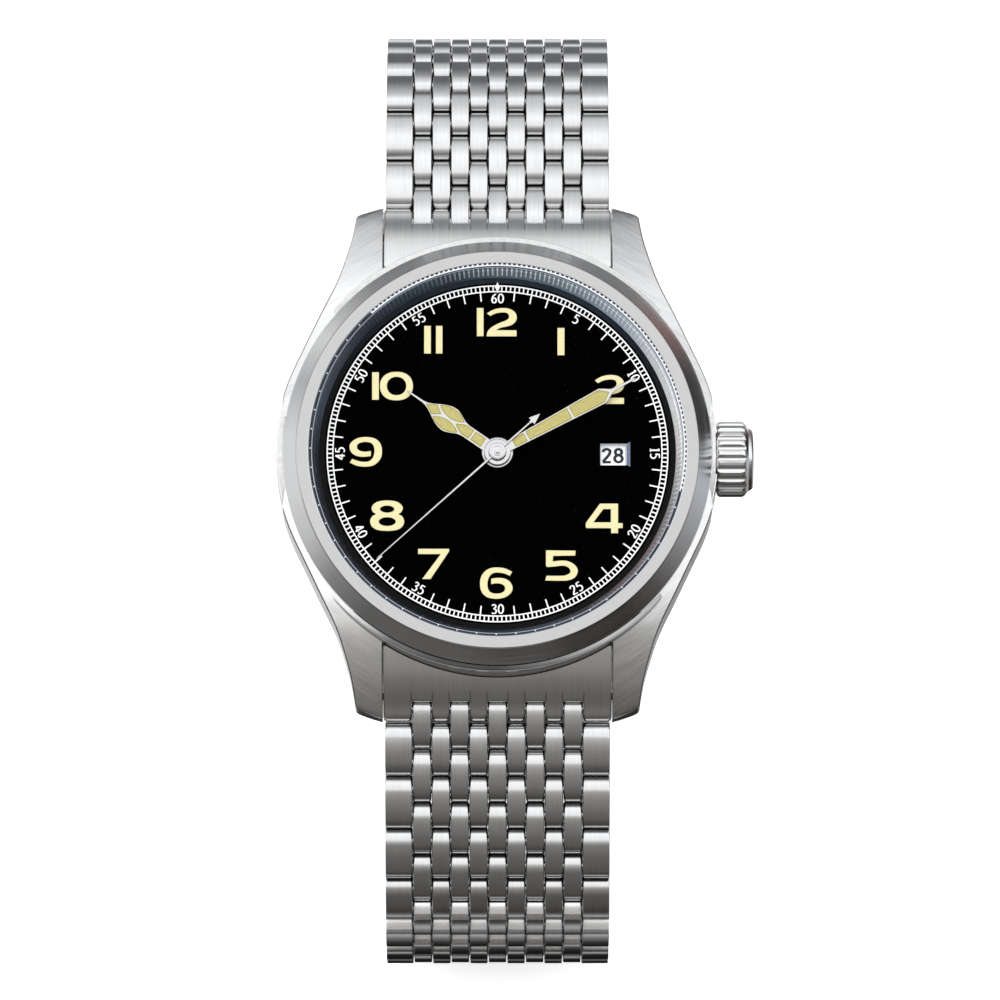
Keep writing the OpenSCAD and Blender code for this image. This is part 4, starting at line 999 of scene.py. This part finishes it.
def brick(mesh, c, p, q, sy, e=0.0):
    x0, x1 = col_x(c) + (e if c == 0 else 0.05), col_x(c + 1) - (e if c == 10 else 0.05)
    st = insets(x1 - x0)
    xs = [(x0 + d, e, k) for d, e, k in st] + [(x1 - d, e, k) for d, e, k in reversed(st)]
    sag = CROWN[12 if sy > 0 else 6]
    loops = [stadium(p, q, BR - e, k, sag) for _, e, k in xs]
    n = len(loops[0])
    cum = [0.0]
    ref = loops[len(loops) // 2]
    for i in range(n):
        cum.append(cum[-1] + math.dist(ref[i][:2], ref[(i + 1) % n][:2]))
    off, offv = rnd.uniform(0, 60), rnd.uniform(0, 60)
    last = len(xs) - 1
    slope = math.degrees(math.atan2(p[1] - q[1], q[0] - p[0]))

    def wide(i, h):
        # below the pins the sides stand nearly against the neighbouring column
        k = clamp(-h / 0.3, 0, 1) * 0.04
        return -k if i < 3 and c > 0 else k if i > last - 3 and c < 10 else 0.0
    base = mesh.pts([(x + wide(i, h), sy * y, z) for i, ((x, _, _), loop) in enumerate(zip(xs, loops)) for y, z, h in loop])
    for i in range(last):
        edge_face = i < 3 or i >= last - 3
        for j in range(n):
            j2 = (j + 1) % n
            h = (loops[i][j][2] + loops[i][j2][2]) / 2
            ny, nz = -(loops[i][j2][1] - loops[i][j][1]), loops[i][j2][0] - loops[i][j][0]
            away = math.degrees(math.atan2(ny, nz))  # how far the face leans away from the case
            # faces below the pins that lean out of view take the dark gap steel: painted shade under and between the
            # bricks; on the 6 side the steep ends take a lighter and a darker steel: painted light and painted shade
            lo_, hi_ = (-50, 80) if sy > 0 else (-60, 88)
            steep = 0 if sy > 0 or slope < 58 or not -12 < away < 54 else 5 if away < 40 else 6
            mat = 4 if h < 0.3 and not lo_ < away < hi_ else steep if steep else 1 if edge_face else 0
            mesh.face([base + i * n + j, base + (i + 1) * n + j, base + (i + 1) * n + j2, base + i * n + j2], mat,
                      [(cum[j] + off, xs[i][0] + offv), (cum[j] + off, xs[i + 1][0] + offv), (cum[j + 1] + off, xs[i + 1][0] + offv), (cum[j + 1] + off, xs[i][0] + offv)])
    for i, outer_cap in ((0, c == 0), (last, c == 10)):
        loop, x = loops[i], xs[i][0]
        ring = [base + i * n + j for j in range(n)]
        if not outer_cap:
            # a cap facing the next column takes the dark gap steel: painted shade
            mesh.face(ring, 4)
            continue
        sgn = -1 if i == 0 else 1
        holes = [[(pp[0] + (PR + 0.03) * math.cos(2 * math.pi * k / 20), pp[1] + (PR + 0.03) * math.sin(2 * math.pi * k / 20)) for k in range(20)] for pp in (p, q)]
        hb = [mesh.pts([(x, sy * y, z) for y, z in h]) for h in holes]
        hd = [mesh.pts([(x - sgn * 0.12, sy * y, z) for y, z in h]) for h in holes]
        ids = ring + [hb[0] + k for k in range(20)] + [hb[1] + k for k in range(20)]
        for t in tessellate_polygon([[Vector((y, z, 0)) for y, z, _ in loop]] + [[Vector((y, z, 0)) for y, z in h] for h in holes]):
            mesh.face([ids[k] for k in t], 2, [(mesh.v[ids[k]][1] * 1.0 + off, mesh.v[ids[k]][2]) for k in t])
        for h in range(2):
            for k in range(20):
                k2 = (k + 1) % 20
                mesh.face([hb[h] + k, hb[h] + k2, hd[h] + k2, hd[h] + k], 1)
            mesh.face([hd[h] + k for k in range(20)], 3)


def pin_rod(mesh, p, sy, half=9.69):
    lathe(mesh, [(0.0, -half), (PR - 0.1, -half), (PR, -half + 0.08), (PR, half - 0.08), (PR - 0.1, half), (0.0, half)], 20, 3, axis="x", centre=(0, sy * p[0], p[1]), closed=False)


BR_MATS = [M["brick_brushed"], M["steel_polished"], M["side_brushed"], M["pin_steel"], M["gap_steel_painted_shade"], M["brick_end_painted_light"], M["brick_end_painted_shade"]]
for side, sy in ((12, 1), (6, -1)):
    P = pins(side)
    for j in range(1, 12):
        me = Mesh()
        a, b, c = P[2 * j - 2], P[2 * j - 1], P[2 * j]
        for k in range(1, 10, 2):
            brick(me, k, a, b, sy)
        for k in range(0, 11, 2):
            brick(me, k, b, c, sy, 0.3 if side == 6 and j == 11 else 0.0)
        pin_rod(me, b, sy)
        pin_rod(me, c, sy, 9.39 if side == 6 and j == 11 else 9.69)
        nm = "%d_%02d" % (side, j)
        piece(me, "bricks_" + nm, BR_MATS, "link_" + nm, "bracelet_steel", ["link_" + nm], sharp=40, merge=0)

# ---------------------------------------------------------------- end links

el_top = table([(14, 7.25), (16.4, 6.7), (18.2, 5.95), (19.4, 5.3), (20.3, 4.65), (21.0, 4.0), (21.6, 3.4), (21.99, 3.07)])
el_bot = table([(14, 1.3), (19.2, 0.3), (20.9, 0.3), (21.6, 0.95)])


def end_link(sy, name, cad):
    me = Mesh()
    for c in range(11):
        outer = c in (0, 10)
        x0 = -9.94 if c == 0 else col_x(c) + (0.05 if c % 2 == 0 else -0.05)
        x1 = 9.94 if c == 10 else col_x(c + 1) - (0.05 if c % 2 == 0 else -0.05)
        xs = []
        if c % 2 == 0:
            for d in (0.0, 0.03, 0.08, 0.14, 0.24, 0.36):
                xs.append((x0 + d, d))
            for k in range(1, 4):
                xs.append((x0 + 0.36 + (x1 - x0 - 0.72) * k / 4, 9))
            for d in (0.36, 0.24, 0.14, 0.08, 0.03, 0.0):
                xs.append((x1 - d, d))
        else:
            xs = [(x0 + (x1 - x0) * k / 6, 9) for k in range(7)]
        rows = []
        for x, d in xs:
            near_left = c == 0 and x - x0 < 0.45
            near_right = c == 10 and x1 - x < 0.45
            ys = math.sqrt(19.36 ** 2 - x * x)
            B, C = 0.13, 0.34
            e = B - math.sqrt(max(B * B - (B - d) ** 2, 0)) if d < B else 0.0
            cc = C - math.sqrt(max(C * C - (C - d) ** 2, 0)) if d < C else 0.0
            side_e = e * 0.6 if (near_left or near_right) else 0.0
            if near_left or near_right:
                ys += 0.8 * cc
            pts = []
            n = 14
            if c % 2 == 0:
                y_end = 21.62
                for k in range(n + 1):
                    y = ys + (y_end - ys) * k / n
                    w = clamp((y - 20.35) / 0.35, 0, 1) * e
                    pts.append((y, el_top(y) - max(w, side_e)))
                r = BR - e
                a0 = math.radians(66)
                for k in range(13):
                    t = a0 - (a0 + math.radians(112)) * k / 12
                    pts.append((P0[0] - 0.7 * cc * clamp(k / 4, 0, 1) + r * math.cos(t), P0[1] + r * math.sin(t)))
                pts += [(21.05, 0.62 + e), (20.9, 0.28 + e), (19.2, 0.3 + side_e)]
            else:
                y_end = 21.16
                r = BR + 0.12
                for k in range(n + 1):
                    y = ys + (y_end - ys) * k / n
                    pts.append((y, el_top(y)))
                pts.append((21.2, el_top(21.2) - 0.04))
                pts.append((21.19, 3.3))
                for k in range(12):
                    t = math.radians(112 + (252 - 112) * k / 11)
                    pts.append((P0[0] + r * math.cos(t), P0[1] + r * math.sin(t)))
                pts += [(20.9, 0.30), (20.6, 0.28), (19.2, 0.3)]
            pts.append((ys, max(el_bot(ys), 0.3) + side_e))
            rows.append([(x, sy * y, z) for y, z in pts])
        n = len(rows[0])
        off, offv = rnd.uniform(0, 60), 3.0
        cum = [0.0]
        mid = rows[len(rows) // 2]
        for i in range(n):
            cum.append(cum[-1] + math.dist(mid[i], mid[(i + 1) % n]))
        base = me.pts([p for r in rows for p in r])
        for i in range(len(rows) - 1):
            finger_edge = c % 2 == 0 and (i < 3 or i >= len(rows) - 4)
            for j in range(n):
                j2 = (j + 1) % n
                body_part = rows[i][j][1] * sy < 20.4 and not (outer and ((c == 0 and i < 2) or (c == 10 and i >= len(rows) - 3)))
                mat = 1 if (finger_edge and not body_part) else 0
                idx = [base + i * n + j, base + (i + 1) * n + j, base + (i + 1) * n + j2, base + i * n + j2]
                uv = [(me.v[q][1] * sy * 1.1 + 7.0, me.v[q][0] + offv) for q in idx]
                me.face(idx, mat, uv)
        me.face([base + j for j in range(n)], 0)
        me.face([base + (len(rows) - 1) * n + j for j in range(n)], 0)
    pin_rod(me, P0, sy, 9.7)
    return piece(me, name, [M["end_brushed_painted_light"], M["steel_polished"], M["side_brushed"], M["pin_steel"]], "case", "bracelet_steel", [cad], sharp=30, merge=0)


end_link(1, "end_piece_12", "end_link_12")
end_link(-1, "end_piece_6", "end_link_6")

# ---------------------------------------------------------------- materials of the nodes that keep their CAD shape


def metal_node(name, tint, rough=0.25, scale=(1500, 1500, 1500), radial=False, shade=0.08, depth=0.002, stripes=None):
    """Metal with turned or grained marks, in the row frame's own coordinates."""
    m, nt, b = new_mat(name)
    co = node(nt, "TexCoord")
    if radial:
        sp = node(nt, "SeparateXYZ")
        nt.links.new(co.outputs["Object"], sp.inputs[0])
        cx = node(nt, "Math", operation="SUBTRACT")
        cx.inputs[1].default_value = radial[0] * S
        cy = node(nt, "Math", operation="SUBTRACT")
        cy.inputs[1].default_value = radial[1] * S
        nt.links.new(sp.outputs[0], cx.inputs[0])
        nt.links.new(sp.outputs[1], cy.inputs[0])
        xy = node(nt, "CombineXYZ")
        nt.links.new(cx.outputs[0], xy.inputs[0])
        nt.links.new(cy.outputs[0], xy.inputs[1])
        ln = node(nt, "VectorMath", operation="LENGTH")
        nt.links.new(xy.outputs[0], ln.inputs[0])
        nv = node(nt, "VectorMath", operation="NORMALIZE")
        nt.links.new(xy.outputs[0], nv.inputs[0])
        s1 = node(nt, "VectorMath", operation="SCALE")
        s1.inputs["Scale"].default_value = 1.2
        nt.links.new(nv.outputs[0], s1.inputs[0])
        cz = node(nt, "CombineXYZ")
        k = node(nt, "Math", operation="MULTIPLY")
        k.inputs[1].default_value = 6000.0
        nt.links.new(ln.outputs["Value"], k.inputs[0])
        nt.links.new(k.outputs[0], cz.inputs[2])
        ad = node(nt, "VectorMath", operation="ADD")
        nt.links.new(s1.outputs[0], ad.inputs[0])
        nt.links.new(cz.outputs[0], ad.inputs[1])
        lines = noise_on(nt, ad.outputs[0], (1, 1, 1), 4.0)
    else:
        lines = noise_on(nt, co.outputs["Object"], scale, 4.0)
    nt.links.new(ramp(nt, lines, [(0.3, [c * (1 - shade) for c in tint]), (0.7, [min(1, c * (1 + shade)) for c in tint])]), b.inputs["Base Color"])
    nt.links.new(map_range(nt, lines, 0.3, 0.7, rough - 0.05, rough + 0.06), b.inputs["Roughness"])
    b.inputs["Metallic"].default_value = 1
    bump(nt, b, lines, depth)
    return m


BRASS = (0.72, 0.55, 0.25)
RHOD = (0.66, 0.66, 0.64)
cad_mats = {
    "case_back": metal_node("case_back_turned", STEEL, 0.24, radial=(0, 0)),
    "case_back_gasket": M["gasket"],
    "crown_tube": metal_node("tube_steel", (0.6, 0.6, 0.6), 0.2),
    "winding_stem": metal_node("stem_steel", (0.5, 0.5, 0.5), 0.25, (300, 6000, 6000)),
    "winding_pinion": metal_node("pinion_steel", (0.5, 0.49, 0.46), 0.25),
    "spring_bars": metal_node("bar_steel", (0.5, 0.5, 0.5), 0.25, (300, 6000, 6000)),
    "movement_ring": paint("ring_plastic", (0.62, 0.62, 0.6), (0.72, 0.72, 0.7), rough=0.55, scale=2500),
    "mainplate": metal_node("plate_grained", RHOD, 0.3, (2500, 2500, 2500)),
    "train_bridge": metal_node("bridge_striped", RHOD, 0.24, (250, 6000, 1000)),
    "balance_cock": metal_node("cock_striped", RHOD, 0.24, (250, 6000, 1000)),
    "bridge_screws": metal_node("blued_screws", (0.05, 0.09, 0.32), 0.18),
    "barrel": metal_node("barrel_brass", BRASS, 0.24, radial=(6.3 * math.cos(math.radians(150)), 6.3 * math.sin(math.radians(150)))),
    "mainspring": metal_node("spring_steel", (0.35, 0.37, 0.4), 0.25),
    "centre_wheel": metal_node("centre_brass", BRASS, 0.22, radial=(0, 0)),
    "third_wheel": metal_node("third_brass", BRASS, 0.22, (2500, 2500, 2500)),
    "fourth_wheel": metal_node("fourth_brass", BRASS, 0.22, radial=(0, 0)),
    "escape_wheel": metal_node("escape_steel", (0.6, 0.6, 0.6), 0.2),
    "pallet_fork": metal_node("fork_steel", (0.6, 0.6, 0.6), 0.2),
    "balance_wheel": metal_node("balance_brass", (0.72, 0.58, 0.32), 0.2),
    "hairspring": metal_node("hairspring_blue", (0.06, 0.12, 0.4), 0.25),
    "hour_wheel": metal_node("hour_brass", BRASS, 0.24, radial=(0, 0)),
    "rotor": metal_node("rotor_turned", (0.68, 0.6, 0.42), 0.25, radial=(0, 0)),
    "date_disc": M["date_white"],
    "clasp_blade_inner": metal_node("blade_inner_grained", STEEL, 0.25, (9000, 350, 9000)),
    "clasp_blade_outer": metal_node("blade_outer_grained", STEEL, 0.25, (9000, 350, 9000)),
    "clasp_cover": metal_node("cover_grained", STEEL, 0.25, (7000, 250, 7000)),
}
for n, mat in cad_mats.items():
    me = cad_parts[n].data
    me.materials.clear()
    me.materials.append(mat)

# ---------------------------------------------------------------- floor, light, camera

fm, nt, b = new_mat("floor_pale")
co = node(nt, "TexCoord")
g = noise_on(nt, co.outputs["Object"], (60, 60, 60), 3.0)
nt.links.new(ramp(nt, g, [(0.3, (0.93, 0.93, 0.935)), (0.7, (0.96, 0.96, 0.96))]), b.inputs["Base Color"])
b.inputs["Roughness"].default_value = 0.9
b.inputs["Specular IOR Level"].default_value = 0.0
b.inputs["Emission Color"].default_value = (1, 1, 1, 1)
b.inputs["Emission Strength"].default_value = 0.45
fl = Mesh()
Z = cad_box[0][2] * 1000 - 0.02
fl.pts([(-4000, -4000, Z), (4000, -4000, Z), (4000, 4000, Z), (-4000, 4000, Z)])
fl.face([0, 1, 2, 3])
floor = fl.make("floor", [fm], weighted=False, merge=0)
floor.visible_glossy = False

w = bpy.data.worlds.new("studio")
bpy.context.scene.world = w
w.use_nodes = True
nt = w.node_tree
nt.nodes.clear()
out = node(nt, "OutputWorld")
bg = node(nt, "Background")
nt.links.new(bg.outputs[0], out.inputs[0])
co = node(nt, "TexCoord")
sp = node(nt, "SeparateXYZ")
nt.links.new(co.outputs["Generated"], sp.inputs[0])
X, Y, Zc = sp.outputs


def math2(op, a, b):
    m = node(nt, "Math", operation=op)
    for i, v in enumerate((a, b)):
        if isinstance(v, (int, float)):
            m.inputs[i].default_value = v
        else:
            nt.links.new(v, m.inputs[i])
    return m.outputs[0]


def stops(rows, lo=-180.0, hi=180.0):
    return [((a - lo) / (hi - lo), c) for a, c in rows]


def mixc(fac, a, b):
    m = node(nt, "Mix", data_type="RGBA")
    nt.links.new(fac, m.inputs[0])
    for i, v in ((6, a), (7, b)):
        nt.links.new(v, m.inputs[i])
    return m.outputs[2]


theta = map_range(nt, math2("ARCTAN2", Y, Zc), -math.pi, math.pi, 0, 1)
phi = map_range(nt, math2("ARCTAN2", Y, X), -math.pi, math.pi, 0, 1)
# upper half, by the angle from the zenith towards 12 (+) or towards the viewer (-)
upper = ramp(nt, theta, stops([
    (-140, (0.06, 0.057, 0.054)), (-100, (0.09, 0.085, 0.08)), (-75, (0.135, 0.128, 0.12)), (-57, (0.175, 0.167, 0.16)), (-46, (0.245, 0.235, 0.225)), (-35, (0.31, 0.3, 0.285)), (-24, (0.46, 0.445, 0.43)), (-13, (0.76, 0.75, 0.74)), (-5, (1.2, 1.2, 1.2)),
    (3, (1.32, 1.325, 1.33)), (9.5, (1.32, 1.325, 1.33)), (25, (1.42, 1.43, 1.44)), (38, (1.50, 1.515, 1.53)), (47, (1.26, 1.27, 1.285)), (56, (1.02, 1.03, 1.04)), (66, (0.88, 0.89, 0.90)), (73, (0.80, 0.81, 0.82)), (78, (0.70, 0.705, 0.71)), (83, (0.57, 0.575, 0.58)), (89, (0.44, 0.445, 0.45)), (97, (0.29, 0.295, 0.30)), (110, (0.21, 0.213, 0.217)), (125, (0.17, 0.172, 0.175)), (135, (0.15, 0.152, 0.155))]))
# lower half, by the bearing: 0 is 3 o'clock, 90 is 12 o'clock
lower = ramp(nt, phi, stops([
    (-180, (1.1, 1.1, 1.1)), (-165, (0.89, 0.89, 0.89)), (-150, (0.36, 0.36, 0.36)), (-135, (0.175, 0.172, 0.168)), (-120, (0.17, 0.16, 0.148)), (-105, (0.133, 0.115, 0.10)), (-90, (0.060, 0.050, 0.041)), (-60, (0.042, 0.033, 0.025)), (-45, (0.036, 0.027, 0.021)), (-32, (0.12, 0.112, 0.108)), (-16, (0.42, 0.42, 0.43)),
    (-6, (0.60, 0.61, 0.64)), (2, (0.68, 0.73, 0.80)), (9, (0.24, 0.25, 0.27)), (15, (0.032, 0.031, 0.034)), (30, (0.028, 0.028, 0.03)), (38, (0.14, 0.10, 0.095)), (46, (0.29, 0.165, 0.15)), (60, (0.232, 0.232, 0.236)), (75, (0.30, 0.31, 0.32)), (90, (0.168, 0.174, 0.186)), (105, (0.25, 0.255, 0.262)), (120, (0.30, 0.304, 0.31)), (130, (0.66, 0.66, 0.66)), (137, (1.0, 1.0, 1.0)),
    (150, (0.64, 0.645, 0.655)), (165, (1.05, 1.055, 1.07))]))
down = map_range(nt, Zc, -0.28, -0.10, 1, 0, True)
sky = mixc(down, upper, lower)
steep = math2("MULTIPLY", map_range(nt, Zc, -0.86, -0.70, 1, 0, True), map_range(nt, Y, 0.02, 0.2, 0, 1, True))
warm = node(nt, "RGB")
warm.outputs[0].default_value = (0.95, 0.96, 0.98, 1)
sky = mixc(steep, sky, warm.outputs[0])
# below the viewer, seen only in the bracelet's lower ends: a bright line, then grey, then dark
under = ramp(nt, map_range(nt, Zc, -1.0, -0.3, 0, 1), [(0.0, 0.012), (0.17, 0.014), (0.34, 0.05), (0.46, 0.16), (0.57, 0.24), (0.64, 0.42), (0.77, 0.55), (0.84, 0.34), (0.92, 0.16), (1.0, 0.08)])
near = math2("MULTIPLY", map_range(nt, math2("ABSOLUTE", X, 0.0), 0.2, 0.4, 1, 0, True), math2("MULTIPLY", map_range(nt, Y, 0.0, 0.1, 1, 0), map_range(nt, Zc, -0.36, -0.28, 1, 0)))
sky = mixc(near, sky, under)
nt.links.new(sky, bg.inputs["Color"])
bg.inputs["Strength"].default_value = 1.0

ld = bpy.data.lights.new("soft_top", "SUN")
ld.energy = 1.9
ld.angle = math.radians(70)
lo_ = bpy.data.objects.new("soft_top", ld)
bpy.context.scene.collection.objects.link(lo_)
lo_.rotation_euler = (math.radians(-8), math.radians(-12), 0)
lo_.visible_glossy = False

cam = bpy.data.cameras.new("camera")
cam.sensor_width = 36
cam.lens = 393.3
cam.clip_start, cam.clip_end = 0.05, 20
co_ = bpy.data.objects.new("camera", cam)
bpy.context.scene.collection.objects.link(co_)
view = Vector((0, -math.sin(TILT), math.cos(TILT)))
up = Vector((0, math.cos(TILT), math.sin(TILT)))
aim = Vector((0.22, 0, 7.7)) + up * -4.05
co_.location = (aim + view * 950) * S
co_.rotation_euler = (TILT, 0, 0)
bpy.context.scene.camera = co_
bpy.context.scene.view_settings.view_transform = "Standard"
